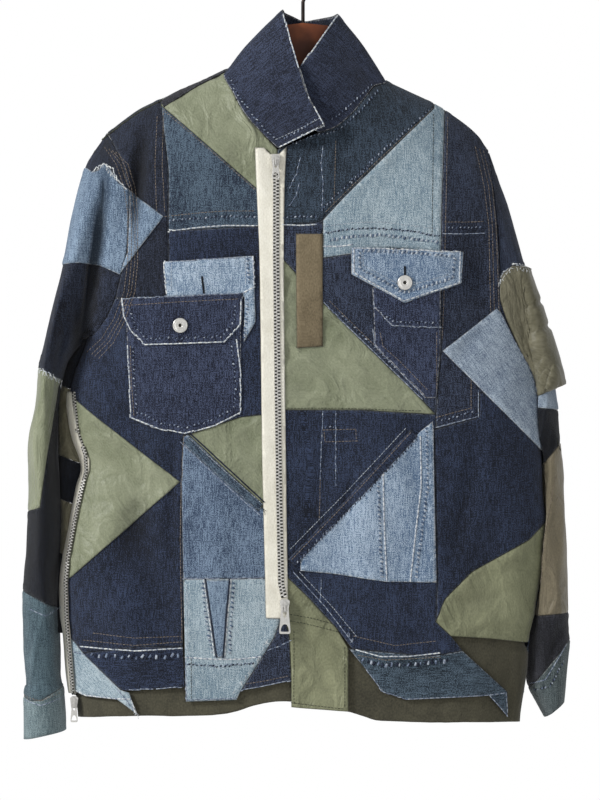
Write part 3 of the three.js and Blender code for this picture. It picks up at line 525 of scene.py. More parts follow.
# %% Shears
def cut_out(bm, outline):
    """Cuts the cloth along an outline drawn in the front view, and drops what is outside it."""
    low_x, high_x = min(p[0] for p in outline) - 6, max(p[0] for p in outline) + 6
    low_z, high_z = min(p[1] for p in outline) - 6, max(p[1] for p in outline) + 6
    away = []
    for face in bm.faces:
        centre = face.calc_center_median()
        if not (low_x < centre.x < high_x and low_z < centre.z < high_z):
            away.append(face)
    bmesh.ops.delete(bm, geom=away, context="FACES")
    for i, (x1, z1) in enumerate(outline):
        x2, z2 = outline[(i + 1) % len(outline)]
        length = math.hypot(x2 - x1, z2 - z1)
        if length < 0.5:
            continue
        dx, dz = (x2 - x1) / length, (z2 - z1) / length
        near = []
        for face in bm.faces:
            centre = face.calc_center_median()
            along = (centre.x - x1) * dx + (centre.z - z1) * dz
            if -5 < along < length + 5 and abs((centre.x - x1) * dz - (centre.z - z1) * dx) < 5:
                near.append(face)
        edges = {e for f in near for e in f.edges}
        verts = {v for f in near for v in f.verts}
        bmesh.ops.bisect_plane(bm, geom=near + list(edges) + list(verts), dist=0.02,
                               plane_co=(x1, 0, z1), plane_no=(dz, 0, -dx))
    outside = []
    for face in bm.faces:
        centre = face.calc_center_median()
        if not is_inside(centre.x, centre.z, outline):
            outside.append(face)
    bmesh.ops.delete(bm, geom=outside, context="FACES")


# %% Laying a piece
pieces = {}


def best_cut(points, area):
    """The smallest rectangle of cloth, width and length, that a piece can be cut from."""
    best = None
    for degrees in range(0, 180, 5):
        c, s = math.cos(math.radians(degrees)), math.sin(math.radians(degrees))
        u, v = points[:, 0] * c + points[:, 1] * s, points[:, 1] * c - points[:, 0] * s
        size = (float(np.ptp(u)), float(np.ptp(v)))
        if best is None or size[0] * size[1] < best[0] * best[1]:
            best = size
    best = [max(side, 0.0105) for side in best]
    return best, max(area, 0.301 * best[0] * best[1])


def lay(bm, name, outline, level, grain, pucker, roll, stand=None):
    """Raises the cut piece off its shell, rolls its edges and writes its pattern."""
    out_layer = bm.verts.layers.float_vector["out"]
    u_layer, v_layer = bm.verts.layers.float["cut_u"], bm.verts.layers.float["cut_v"]
    edge_layer = bm.verts.layers.float.new("edge")
    crest_layer = bm.verts.layers.float.new("crest")
    bm.verts.ensure_lookup_table()
    xyz = np.array([v.co[:] for v in bm.verts])
    out = np.array([v[out_layer][:] for v in bm.verts])
    cut = np.array([(v[u_layer], v[v_layer]) for v in bm.verts])
    away, along = from_edge(xyz[:, [0, 2]], outline)
    seed = sum(map(ord, name)) % 97
    wave = np.array([noise.noise(Vector((a / 4.2, seed, 0.3))) for a in along])
    near = smooth(away, 0.2, 2.2) * (1 - smooth(away, 5, 10))
    lift = level + roll * (0.5 * smooth(away, 0,
        1.6) * (1 - smooth(away, 6, 9)) - 0.45 * (1 - smooth(away, 0, 1.3)))
    lift = lift + pucker * wave * near
    if stand is not None:
        lift = lift + stand(xyz, away)
    laid = (xyz + out * lift[:, None]) * MM
    crest = wave * near
    for i, vert in enumerate(bm.verts):
        vert.co = laid[i]
        vert[edge_layer] = float(away[i]) * MM
        vert[crest_layer] = float(crest[i])
    uv = bm.loops.layers.uv.new("cut")
    c, s = math.cos(math.radians(grain)), math.sin(math.radians(grain))
    area = 0.0
    for face in bm.faces:
        corners = [loop.vert.index for loop in face.loops]
        for loop in face.loops:
            u, v = cut[loop.vert.index] * MM
            loop[uv].uv = (u * c + v * s + seed * 0.013, v * c - u * s)
        flat = cut[corners]
        area += abs(np.sum(flat[:, 0] * np.roll(flat[:, 1], -1) - np.roll(flat[:, 0], -1) * flat[:, 1])) / 2
    return cut * MM, area * MM * MM


def finish_cloth(bm, name, node, cloth, thick, cut, area):
    mesh = to_mesh(name, bm)
    mesh.polygons.foreach_set("use_smooth", [True] * len(mesh.polygons))
    for spare in ("out", "cut_u", "cut_v"):
        if spare in mesh.attributes:
            mesh.attributes.remove(mesh.attributes[spare])
    piece = link(name, mesh)
    mesh.materials.append(materials[cloth])
    wall = piece.modifiers.new("thickness", "SOLIDIFY")
    wall.thickness = thick * MM
    wall.offset = -1
    (width, length), area = best_cut(cut, area)
    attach(piece, "jacket")
    if node:
        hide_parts(node)
    pieces[name] = piece
    return piece


def satin_creases(xyz, away):
    """Soft crumpling, strongest near the seams that gather it."""
    x, z = xyz[:, 0], xyz[:, 2]
    gather = 0.5 + 0.9 * (1 - smooth(away, 4, 34))
    flow = x * 0.5 + z
    soft = 2.6 * uneven(flow, z - 0.7 * x, 24, 2.5) + 1.3 * uneven(flow, z - 0.3 * x, 11, 6.5)
    soft = gather * soft * smooth(away, 1, 9)
    return 0.8 - np.logaddexp(0, 0.8 - soft)


def raised_creases(xyz, away):
    """The same on a piece that lies on another: its creases only stand up."""
    return np.logaddexp(0, satin_creases(xyz, away) * 1.5 + 0.5) - np.logaddexp(0, 0.5)


def panel(name, cloth, outline, shell="front", level=0.0, grain=0.0, node=None, pucker=0.3, roll=1.0,
          thick=1.2, only_front=False, stand=None, full=1.0):
    """Cuts and lays one piece. full is how much larger its cut is than its place, each way."""
    bm = shells[shell].copy()
    cut_out(bm, inset(outline, 0.12))
    if only_front:
        plane = {"plane_co": (0, 0, 0), "plane_no": (0, 1, 0), "clear_outer": True}
        bmesh.ops.bisect_plane(bm, geom=bm.verts[:] + bm.edges[:] + bm.faces[:], **plane)
    bm.normal_update()
    bm.verts.index_update()
    cut, area = lay(bm, name, outline, level, grain, pucker, roll, stand)
    return finish_cloth(bm, name, node, cloth, thick, cut * full, area * full**2)


# %% [markdown]
# ## Cloths
# Denim is a twill with a dyed warp and a white weft: the dye wears off where the cloth is
# rubbed, first on the ridges over a seam, where little pale and dark bands cross it. So
# each cloth mixes a dark and a light colour by the weave, by broad fading and by the
# distance to its edge, and the same three groups of nodes serve every cloth.
# Painted shade also darkens the last millimetre of every edge, as in a seam's groove.
# Painted shade darkens the troughs of the folds; in denim it is partly also the dye that washing leaves
# there.

# %% Node helpers
def add(tree, kind, inputs=(), **settings):
    node = tree.nodes.new("ShaderNode" + kind)
    for key, value in settings.items():
        setattr(node, key, value)
    for key, value in dict(inputs).items():
        socket = node.inputs[key]
        if isinstance(value, bpy.types.NodeSocket):
            tree.links.new(value, socket)
        else:
            socket.default_value = value
    return node


def sums(tree, operation, a, b=0.0, c=0.0, clamp=False):
    return add(tree, "Math", {0: a, 1: b, 2: c}, operation=operation, use_clamp=clamp).outputs[0]


def spread(tree, value, low, high, to_low=0.0, to_high=1.0):
    """Maps a range of values smoothly onto another."""
    return add(tree, "MapRange", {"Value": value, "From Min": low, "From Max": high, "To Min": to_low,
                                  "To Max": to_high}, interpolation_type="SMOOTHSTEP").outputs["Result"]


def blend(tree, how, amount, a, b):
    node = add(tree, "Mix", data_type="RGBA", blend_type=how, clamp_factor=True)
    for socket, value in ((node.inputs[0], amount), (node.inputs[6], a), (node.inputs[7], b)):
        if isinstance(value, bpy.types.NodeSocket):
            tree.links.new(value, socket)
        else:
            socket.default_value = value
    return node.outputs[2]


def stretched(tree, vector, scale):
    return add(tree, "Mapping", {"Vector": vector, "Scale": scale}).outputs[0]


# %% Weave, fading and wear
def group_of(name, inputs, outputs):
    """An empty node group with these sockets, its input node and its output node."""
    group = bpy.data.node_groups.new(name, "ShaderNodeTree")
    for label, kind in inputs:
        group.interface.new_socket(name=label, in_out="INPUT", socket_type="NodeSocket" + kind)
    for label in outputs:
        group.interface.new_socket(name=label, in_out="OUTPUT", socket_type="NodeSocketFloat")
    return group, group.nodes.new("NodeGroupInput").outputs, group.nodes.new("NodeGroupOutput").inputs


def weighed(tree, *parts):
    """A sum of values, each about 0.5, moved to lie about nought and weighed."""
    total = None
    for value, weight in parts:
        part = sums(tree, "MULTIPLY_ADD", value, weight, -0.5 * weight)
        total = part if total is None else sums(tree, "ADD", total, part)
    return total


def weave_group():
    """Twill lines, uneven warp yarn, pale weft and specks, in pattern metres, about nought."""
    group, given, made = group_of("twill_weave", (("Vector", "Vector"),), ("Shade", "Height"))
    vector = given["Vector"]
    twill = add(group, "TexWave", {"Vector": vector, "Scale": 330.0, "Distortion": 2.0, "Detail": 1.0,
                                   "Detail Scale": 1.6}, bands_direction="DIAGONAL").outputs["Fac"]
    warp = add(group, "TexNoise", {"Vector": stretched(group, vector, (780, 74, 1)), "Scale": 1.0,
                                   "Detail": 2.0, "Roughness": 0.6}).outputs["Fac"]
    weft = add(group, "TexNoise", {"Vector": stretched(group, vector, (70, 600, 1)), "Scale": 1.0,
                                   "Detail": 1.0}).outputs["Fac"]
    specks = add(group, "TexNoise", {"Vector": vector, "Scale": 760.0, "Detail": 2.0,
                                     "Roughness": 0.75}).outputs["Fac"]
    group.links.new(weighed(group, (specks, 1.8), (warp, 0.95), (weft, 0.25), (twill, 0.1)), made["Shade"])
    group.links.new(weighed(group, (twill, 0.6), (specks, 0.9), (warp, 0.5)), made["Height"])
    return group


def fading_group():
    """Broad washing about nought, and wear at the sewn edges and on their puckers, 0 to 1."""
    group, given, made = group_of("washing_and_wear", (("Vector", "Vector"), ("Edge", "Float"),
                                                       ("Crest", "Float")), ("Fade", "Worn", "Seam"))
    vector, edge = given["Vector"], given["Edge"]
    broad = add(group, "TexNoise", {"Vector": stretched(group, vector, (17, 10, 1)), "Scale": 1.0,
                                    "Detail": 3.0, "Roughness": 0.55}).outputs["Fac"]
    small = add(group, "TexNoise", {"Vector": stretched(group, vector, (120, 60, 1)), "Scale": 1.0,
                                    "Detail": 3.0}).outputs["Fac"]
    ropes = add(group, "TexNoise", {"Vector": vector, "Scale": 230.0, "Detail": 3.0, "Distortion": 0.5,
                                    "Roughness": 0.6}).outputs["Fac"]
    threads = add(group, "TexNoise", {"Vector": vector, "Scale": 620.0, "Detail": 1.0}).outputs["Fac"]
    group.links.new(weighed(group, (broad, 1.1), (small, 0.55)), made["Fade"])
    close = spread(group, edge, 0.0105, 0.0015)
    banded = spread(group, sums(group, "MULTIPLY_ADD", given["Crest"], 0.35, ropes), 0.52, 0.7)
    group.links.new(sums(group, "MULTIPLY", close, banded), made["Seam"])
    rim = spread(group, sums(group, "MULTIPLY_ADD", threads, 0.0016, edge), 0.0023, 0.0012)
    patchy = spread(group, ropes, 0.42, 0.58)
    group.links.new(sums(group, "MULTIPLY", rim, patchy), made["Worn"])
    return group


weave, fading = weave_group(), fading_group()
print("node groups:", [g.name for g in bpy.data.node_groups])

# %% Denims
def rgb(text):
    """A colour as a dyer's card gives it, in linear light."""
    parts = [int(text[i:i + 2], 16) / 255 for i in (0, 2, 4)]
    return tuple(((c + 0.055) / 1.055) ** 2.4 if c > 0.04045 else c / 12.92 for c in parts) + (1.0,)


def new_material(name, roughness, sheen=0.0, metallic=0.0):
    material = bpy.data.materials.new(name)
    material.use_nodes = True
    tree = material.node_tree
    shader = next(n for n in tree.nodes if n.type == "BSDF_PRINCIPLED")
    shader.inputs["Roughness"].default_value = roughness
    shader.inputs["Sheen Weight"].default_value = sheen
    shader.inputs["Metallic"].default_value = metallic
    shader.inputs["Specular IOR Level"].default_value = 0.5 if metallic else 0.28
    return material, tree, shader


def bump(tree, shader, height, distance, strength=1.0):
    node = add(tree, "Bump", {"Height": height, "Distance": distance, "Strength": strength})
    tree.links.new(node.outputs[0], shader.inputs["Normal"])


def grey(tree, value):
    return add(tree, "CombineColor", {0: value, 1: value, 2: value}).outputs[0]


def denim(name, dark, light, worn_to, wear=0.3, seam=0.4, fade=1.0, grain=2.2, base=0.36, centre=0.0):
    """Denim between a dark and a light colour. centre makes the middle of a piece paler."""
    material, tree, shader = new_material(name, 0.9, 0.08)
    pattern = add(tree, "UVMap", uv_map="cut").outputs[0]
    edge = add(tree, "Attribute", attribute_name="edge").outputs["Fac"]
    crest = add(tree, "Attribute", attribute_name="crest").outputs["Fac"]
    cloth = add(tree, "Group", {}, node_tree=weave)
    wash = add(tree, "Group", {}, node_tree=fading)
    for socket, value in ((cloth.inputs["Vector"], pattern), (wash.inputs["Vector"], pattern),
                          (wash.inputs["Edge"], edge), (wash.inputs["Crest"], crest)):
        tree.links.new(value, socket)
    level = sums(tree, "MULTIPLY_ADD", wash.outputs["Fade"], fade, base)
    level = sums(tree, "MULTIPLY_ADD", cloth.outputs["Shade"], grain, level)
    if centre:
        level = sums(tree, "ADD", level, spread(tree, edge, 0.004, 0.055, 0, centre))
    # Painted shade in the folds' troughs, partly also the dye that washing leaves there: the level drops, and
    # the colour darkens to half at the deepest.
    fold = add(tree, "Attribute", attribute_name="fold").outputs["Fac"]
    level = sums(tree, "MULTIPLY_ADD", fold, -0.35, level)
    level = sums(tree, "MULTIPLY_ADD", wash.outputs["Seam"], seam, level, clamp=True)
    colour = blend(tree, "MIX", level, rgb(dark), rgb(light))
    worn = sums(tree, "MULTIPLY", wash.outputs["Worn"], wear)
    colour = blend(tree, "MIX", worn, colour, rgb(worn_to))
    # Painted shade: the last millimetre at each edge darkens to 0.4, as in a seam's groove.
    colour = blend(tree, "MULTIPLY", 1.0, colour, grey(tree, spread(tree, edge, 0.0002, 0.001, 0.4, 1.0)))
    colour = blend(tree, "MULTIPLY", 1.0, colour, grey(tree, spread(tree, fold, 0.1, 1.0, 1.0, 0.5)))
    tree.links.new(colour, shader.inputs["Base Color"])
    height = sums(tree, "MULTIPLY_ADD", wash.outputs["Seam"], 0.9, cloth.outputs["Height"])
    bump(tree, shader, height, 0.0007)
    return material


def satin(name, colour_text, shade_text, roughness=0.45, crinkle=1.0, grain=1.0):
    """Close-woven nylon: smooth, with a low sheen and fine creases at its seams."""
    material, tree, shader = new_material(name, roughness, 0.2)
    pattern = add(tree, "UVMap", uv_map="cut").outputs[0]
    edge = add(tree, "Attribute", attribute_name="edge").outputs["Fac"]
    broad = add(tree, "TexNoise", {"Vector": stretched(tree, pattern, (16, 9, 1)), "Scale": 1.0,
                                   "Detail": 3.0}).outputs["Fac"]
    fine = add(tree, "TexNoise", {"Vector": stretched(tree, pattern, (620, 380, 1)), "Scale": 1.0,
                                  "Detail": 1.0}).outputs["Fac"]
    creases = add(tree, "TexNoise", {"Vector": stretched(tree, pattern, (40, 24, 1)), "Scale": 1.0,
                                     "Detail": 4.0, "Distortion": 1.6}).outputs["Fac"]
    # The crease noise that shapes the bump also sets the colour, paler on its ridges and darker in its
    # hollows: painted shade and highlight of the creases. The broad and fine noise are the cloth's own uneven
    # tone.
    level = sums(tree, "ADD", weighed(tree, (broad, 1.2), (fine, 0.8 * grain), (creases, 0.9)),
        0.5, clamp=True)
    colour = blend(tree, "MIX", level, rgb(shade_text), rgb(colour_text))
    # Painted shade: the last 1.4 mm at each edge darkens to 0.45, as in a seam's groove.
    colour = blend(tree, "MULTIPLY", 1.0, colour, grey(tree, spread(tree, edge, 0.0, 0.0014, 0.45, 1.0)))
    # Painted shade in the folds' troughs: the colour darkens to 0.6 at the deepest.
    fold = add(tree, "Attribute", attribute_name="fold").outputs["Fac"]
    colour = blend(tree, "MULTIPLY", 1.0, colour, grey(tree, spread(tree, fold, 0.1, 1.0, 1.0, 0.6)))
    tree.links.new(colour, shader.inputs["Base Color"])
    pucker = sums(tree, "MULTIPLY", creases, spread(tree, edge, 0.0, 0.03, 1.7, 0.9))
    height = sums(tree, "MULTIPLY_ADD", fine, 0.1, sums(tree, "MULTIPLY", pucker, crinkle))
    bump(tree, shader, height, 0.0038)
    return material


# The material slot that each cloth goes in.
materials = {
    "indigo": denim("dark indigo denim", "0c111e", "444e65", "b9c0cb", grain=4.2),
    "indigo_worn": denim("dark indigo denim, worn edges", "0f1426", "4a546f", "d8dbe0", 0.8, 0.7, grain=3.8),
    "collar_blue": denim("dark collar denim, worn edges", "0d1220", "3f4860", "d8dbe0", 0.8, 0.7, grain=3.6),
    "indigo_dark": denim("deep indigo denim", "090d18", "333b4e", "9ea7b5", grain=3.4),
    "washed": denim("washed blue denim", "4e6785", "b0c1d3", "eef1f3", 0.8, 0.7, 1.2, 2.6, 0.41, 0.06),
    "band": denim("washed indigo waistband", "16212b", "556675", "c9d0d9", 0.6, 0.8, 1.3, 2.8, 0.38),
    "indigo_teal": denim("blue-black denim", "111922", "435263", "bfc8cf", grain=3.6),
    "navy": denim("navy twill", "0b111e", "38445f", "aab3c2", 0.25, 0.3, 1.2, 3.3),
    "ink": denim("ink twill", "05060b", "1c212d", "7d8593", 0.25, 0.3, 1.0, 2.8),
    "black_navy": denim("black twill", "121317", "3c3d46", "8e9098", 0.25, 0.3, 0.8, 2.0),
    "faded": denim("faded mid-blue denim", "2e3e58", "8296ad", "d5dae0", 0.4, 0.5, 1.2, 3.0, 0.42, 0.16),
    "faded_deep": denim("deep faded denim", "1d2739", "5e7182", "c9d0d9", 0.4, 0.5, 1.5, 3.4, 0.38, 0.08),
    "light": denim("light washed denim", "5a7492", "c4d4e3", "eef1f3", 0.6, 0.6, 1.2, 2.4, 0.44, 0.08),
    "sky": denim("washed sky denim", "3f536b", "92a6bb", "e4e8ec", 0.6, 0.5, 1.2, 2.4, 0.44, 0.05),
    "mist": denim("grey-blue denim", "5c6c82", "b4c2d0", "e4e8ec", 0.6, 0.5, 1.2, 2.0, 0.46, 0.05),
    "pale": denim("pale grey-green denim", "657d8e", "bccbd2", "eceeee", 0.5, 0.5, 1.0, 1.9, 0.42, 0.15),
    "teal": denim("blue-green denim", "2a3b46", "687e87", "ccd5d8", 0.3, 0.4, 1.2, 2.3, 0.42),
    "cuff_teal": denim("washed blue-green denim", "465a62", "8c9da0", "e2e6e4", 0.6, 0.6, 1.0, 2.2, 0.4),
    "grey_teal": denim("grey-green denim", "313c40", "707b7c", "d5d8d4", 0.5, 0.5, 1.0, 2.2, 0.42),
    "satin": satin("olive satin", "93977f", "636950"),
    "satin_deep": satin("deep olive satin", "8c8e70", "5c5f47"),
    "olive": satin("olive-brown cotton", "524f3f", "323025", 0.8, 0.3, 1.6),
    "olive_dark": satin("dark olive nylon", "7b7763", "4b4835", 0.5, 1.0),
    "tan": satin("olive-tan nylon", "8a8069", "5e5746", 0.5, 1.0),
    "webbing": satin("khaki webbing", "7f725a", "5c513d", 0.85, 0.1, 1.8),
    "ecru": satin("ecru zip tape", "ebe8dc", "cfcaba", 0.8, 0.1, 1.2)}
print("cloths:", len(materials))

# %% [markdown]
# ## The right front
# The wearer's right front is on the viewer's left. Its ground pieces lie side by side, as
# they were sewn edge to edge; a pocket, a flap or a patch lies on top, one step higher.

# %% Right front pieces
FAR = 330  # past the widest point, for outlines that run off the cloth
LEVEL = [0.0, 1.6, 3.2, 4.9]  # how far each layer's foot stands off the body


def front_pieces(title, rows):
    """Lay the pieces of one front; satin puckers more and rolls less than denim."""
    for name, cloth, level, grain, outline in rows:
        soft = cloth.startswith("satin")
        panel(name + "_cloth", cloth, outline, "front", LEVEL[level], grain, name,
              pucker=0.55 if soft else 0.3, roll=0.5 if soft else 1.0,
              stand=(raised_creases if level else satin_creases) if soft else None)
    print(title + ":", len(rows), "pieces")


# Each: node, cloth, layer, turn of the weave in degrees, outline.
RIGHT_FRONT = [
    ("right_shoulder", "indigo_dark", 0, 4, [
        (-157, -162), (-152, -202), (-148, -235), (-148, -376), (-207, -376), (-199, -343), (-194, -325),
        (-192, -255), (-201, -222), (-217, -192), (-228, -171), (-157, -125)]),
    ("right_yoke_satin", "satin", 0, 30, [
        (-157, -162), (-157, -125), (-85, -92), (-87, -124), (-77, -149), (-65, -171), (-46, -193),
        (-28, -212), (-29, -275)]),
    ("right_chest", "faded_deep", 0, 0, [
        (-157, -162), (-29, -275), (-29, -296), (-52, -297), (-148, -302), (-148, -235), (-152, -202)]),
    ("right_front", "navy", 0, 2, [
        (-148, -376), (-148, -302), (-52, -297), (-29, -296), (-28, -334), (-26, -466), (-26, -504),
        (-43, -504), (-70, -507), (-123, -525), (-132, -528), (-134, -578), (-132, -685), (-132, -760),
        (-177, -759), (-243, -767), (-250, -758), (-262, -745), (-FAR, -744), (-FAR, -452),
        (-250, -450), (-239, -420), (-229, -413), (-216, -396), (-207, -376)]),
    ("right_arm_patch", "sky", 1, 0, [(-192, -256), (-153, -286), (-201, -349), (-198, -338), (-193, -325)]),
    ("right_light_patch", "light", 1, 0, [
        (-154, -336), (-54, -329), (-53, -365), (-52, -402), (-65, -425), (-65, -375), (-150, -375)]),
    ("right_pocket", "indigo_worn", 1, 0, [
        (-195, -381), (-68, -377), (-68, -502), (-98, -517), (-130, -525), (-165, -519), (-190, -508),
        (-194, -411)]),
    ("right_pocket_flap", "indigo_worn", 2, 0, [
        (-200, -376), (-66, -370), (-67, -404), (-87, -425), (-174, -428), (-190, -411), (-198, -394)]),
    ("right_side_satin", "satin", 1, 35, [
        (-FAR, -486), (-250, -488), (-231, -504), (-135, -578), (-257, -685), (-FAR, -686)]),
    ("right_waist_satin", "satin", 0, 20, [
        (-126, -526), (-123, -525), (-70, -507), (-43, -504), (-26, -504), (-24, -598), (-24, -619),
        (-43, -604)]),
    ("right_waist", "faded", 0, 0, [
        (-132, -528), (-126, -526), (-43, -604), (-24, -619), (-22, -684), (-132, -685), (-134, -578)]),
    ("right_hem_light", "pale", 0, 0, [
        (-132, -685), (-22, -684), (-21, -721), (-31, -748), (-43, -768), (-69, -809), (-73, -818),
        (-129, -820)]),
    ("right_hem_dark", "indigo", 0, 0, [
        (-21, -721), (-15, -748), (-13, -797), (-66, -807), (-69, -809), (-43, -768), (-31, -748)]),
    ("right_waistband", "navy", 0, 90, [
        (-243, -767), (-177, -759), (-132, -760), (-130, -804), (-195, -808), (-201, -807)]),
    ("right_corner", "pale", 0, 50, [
        (-FAR, -744), (-262, -745), (-250, -758), (-243, -767), (-201, -807), (-191, -810), (-184, -833),
        (-205, -818), (-245, -814), (-254, -809), (-FAR, -807)])]
front_pieces("right front", RIGHT_FRONT)

# %% Left front pieces
LEFT_FRONT = [
    ("left_yoke", "indigo_teal", 0, 0, [
        (-28, -212), (-3, -202), (16, -194), (35, -188), (54, -172), (68, -155), (78, -142), (91, -133),
        (94, -103), (146, -136), (145, -165), (43, -267), (22, -290), (14, -293), (-29, -296)]),
    ("left_chest_light", "pale", 0, 0, [
        (145, -165), (146, -136), (158, -147), (157, -171), (153, -267), (152, -327), (102, -321),
        (54, -327), (22, -332), (22, -290), (43, -267)]),
    ("left_side_upper", "indigo", 0, 0, [
        (157, -171), (158, -147), (222, -180), (206, -214), (210, -249), (214, -288), (217, -336),
        (218, -390), (234, -424), (251, -453), (261, -478), (FAR, -479), (FAR, -510), (217, -484),
        (194, -479), (194, -507), (146, -520), (147, -488), (152, -433), (152, -327), (153, -267)]),
    ("left_front_satin", "satin", 0, 45, [
        (-28, -334), (-28, -328), (-21, -334), (22, -381), (131, -488), (146, -504), (129, -503),
        (63, -499), (-26, -499), (-26, -466)]),
    ("left_chest", "indigo", 0, 0, [
        (-29, -296), (14, -293), (22, -290), (22, -332), (54, -327), (102, -321), (152, -327),
        (152, -433), (147, -488), (146, -504), (131, -488), (22, -381), (-21, -334), (-28, -328)]),
    ("left_pocket", "indigo_worn", 1, 0, [(76, -367), (151, -367), (151, -433), (147, -486), (136, -486),
        (79, -428)]),
    ("left_under_flap", "indigo_worn", 2, 0, [(76, -364), (151, -364), (151, -409), (98, -407), (78, -386)]),
    ("left_pocket_flap", "washed", 3, 0, [(53, -320), (175, -325), (173, -360), (112, -382), (53, -350)]),
    ("webbing_strip", "webbing", 1, 0, [(-8, -305), (22, -305), (22, -429), (-7, -431)]),
    ("left_side_light", "mist", 1, 40, [
        (153, -434), (213, -387), (218, -391), (234, -424), (251, -453), (262, -479), (FAR, -480),
        (FAR, -605), (264, -545), (207, -488)]),
    ("left_side", "navy", 0, 0, [
        (146, -520), (194, -507), (194, -479), (217, -484), (FAR, -510), (FAR, -620), (270, -622),
        (250, -642), (186, -677), (156, -707), (146, -732), (148, -689), (144, -521)]),
    ("left_hem_satin", "satin_deep", 0, 0, [
        (FAR, -620), (270, -622), (250, -642), (186, -677), (156, -707), (146, -732), (163, -748),
        (207, -751), (245, -756), (FAR, -759)]),
    ("left_front", "navy", 0, 0, [
        (-26, -499), (63, -499), (129, -503), (146, -504), (147, -488), (146, -520), (144, -521),
        (148, -689), (146, -732), (163, -748), (176, -764), (140, -770), (54, -762), (37, -739),
        (9, -708), (-22, -678), (-24, -598)]),
    ("left_lower_light", "washed", 1, 0, [
        (128, -523), (143, -511), (147, -689), (91, -688), (38, -680), (-3, -676), (-3, -661)]),
    ("left_placket", "satin_deep", 0, 0, [
        (-22, -678), (9, -708), (37, -739), (50, -761), (50, -831), (-3, -827), (-13, -826), (-13, -797),
        (-15, -748), (-21, -721), (-22, -684)]),
    ("left_waistband", "band", 0, 90, [
        (50, -761), (54, -762), (140, -770), (176, -764), (226, -810), (226, -837), (205, -814),
        (114, -818), (87, -809), (70, -786)])]
front_pieces("left front", LEFT_FRONT)

# %% [markdown]
# ## Zip tapes
# A zip is sewn on by its woven tapes. The front one lies over the edge of the right front,
# and the side one runs down the seam from the sleeve to the hem.

# %% Zip tapes
TAPE = [
    (-43, -210), (-36, -217), (-26, -217), (-18, -209), (-20, -248), (-21, -331), (-20, -445),
    (-17, -673), (-16, -729), (-41, -728), (-45, -558), (-48, -331), (-51, -258), (-53, -210)]
SIDE_TAPE = [
    (-254, -479), (-250, -504), (-245, -530), (-234, -553), (-234, -566), (-240, -583), (-246, -612),
    (-251, -635), (-256, -665), (-258, -690), (-257, -728), (-255, -748), (-252, -788), (-250, -812),
    (-FAR, -812), (-FAR, -479)]
panel("front_tape_cloth", "ecru", TAPE, "front", LEVEL[1], 0, "front_zip_tape", pucker=0.12, roll=0.4)
panel("side_tape_cloth", "ecru", SIDE_TAPE, "front", LEVEL[2], 0, "side_zip_tape", pucker=0.12, roll=0.4)

# %% [markdown]
# ## The back
# Nothing shows the back, so it has the pieces that such a jacket must have and no others:
# a yoke, one panel and a waistband, with creases like those of the front.

# %% Back pieces
BACK = [
    ("back_yoke", "indigo", [
        (-194, -310), (-192, -255), (-201, -222), (-217, -192), (-228, -171), (-95, -95), (-87, -124),
        (-72, -122), (-42, -128), (2, -133), (46, -130), (78, -130), (91, -133), (98, -100), (222, -180),
        (206, -214), (210, -249), (215, -310)]),
    ("back_panel", "navy", [
        (-194, -310), (215, -310), (217, -336), (218, -390), (234, -424), (251, -453), (261, -478),
        (FAR, -479), (FAR, -762), (-FAR, -762), (-FAR, -452), (-250, -450), (-239, -420), (-229, -413),
        (-216, -396), (-207, -376), (-199, -343), (-194, -325)]),
    ("back_waistband", "faded_deep", [(-FAR, -762), (FAR, -762), (FAR, -815), (-FAR, -815)])]
for name, cloth, outline in BACK:
    panel(name + "_cloth", cloth, outline, "back", 0.0, 90 if "band" in name else 0, name)
print("back:", len(BACK), "pieces")

# %% Sleeve pieces
RIGHT_PATCH = [
    (-290, -213), (-239, -231), (-232, -236), (-225, -234), (-221, -225), (-212, -233), (-203, -249),
    (-192, -255), (-180, -257), (-180, -352), (-202, -350), (-224, -340), (-246, -337), (-FAR, -345)]
SLEEVES = [
    ("right_sleeve_upper", "indigo_dark", [
        (-FAR, -100), (-150, -100), (-150, -400), (-235, -482), (-267, -466), (-294, -451), (-FAR, -431)]),
    ("right_sleeve_satin", "satin", [
        (-FAR, -431), (-294, -451), (-267, -466), (-270, -474), (-290, -607), (-304, -611), (-FAR, -613)]),
    # This navy piece takes the darker ink twill: partly its own dark cloth, partly painted shade, as the
    # sleeve's lower inner side hangs in shade.
    ("right_sleeve_navy", "ink", [
        (-270, -474), (-267, -466), (-235, -482), (-235, -737), (-270, -719), (-310, -699), (-FAR, -689),
        (-FAR, -613), (-304, -611), (-290, -607)]),
    ("right_sleeve_teal", "teal", [
        (-235, -737), (-270, -719), (-310, -699), (-FAR, -689), (-FAR, -812), (-310, -816), (-300, -820),
        (-288, -819), (-267, -806), (-235, -796)]),
    ("right_cuff", "cuff_teal", [
        (-FAR, -812), (-310, -816), (-300, -820), (-288, -819), (-267, -806), (-235, -796), (-235, -900),
        (-FAR, -900)]),
    ("left_sleeve_upper", "indigo", [
        (FAR, -100), (150, -100), (150, -420), (235, -495), (263, -497), (283, -499), (FAR, -502)]),
    ("left_sleeve_navy", "ink", [
        (FAR, -502), (283, -499), (263, -497), (235, -495), (235, -593), (267, -557), (287, -534),
        (FAR, -508)]),
    ("left_sleeve_tan", "tan", [
        (FAR, -508), (287, -534), (267, -557), (235, -593), (235, -728), (257, -727), (295, -724),
        (FAR, -723)]),
    ("left_sleeve_lower", "black_navy", [
        (FAR, -723), (295, -724), (257, -727), (235, -728), (235, -826), (257, -800), (294, -756),
        (FAR, -740)]),
    ("left_cuff", "grey_teal", [
        (FAR, -740), (294, -756), (257, -800), (235, -826), (235, -900), (FAR, -900)])]
for name, cloth, outline in SLEEVES:
    panel(name + "_cloth", cloth, outline, name.split("_")[0] + " sleeve", 0.0, 0, name, roll=0.8)
panel("right_sleeve_patch_cloth", "sky", RIGHT_PATCH, "right sleeve", 0.9, 0, "right_sleeve_patch",
      only_front=True)

ARM_POCKET = [
    (217, -378), (214, -362), (221, -348), (231, -339), (262, -342), (304, -462), (282, -474), (260, -484),
    (249, -453), (224, -400)]


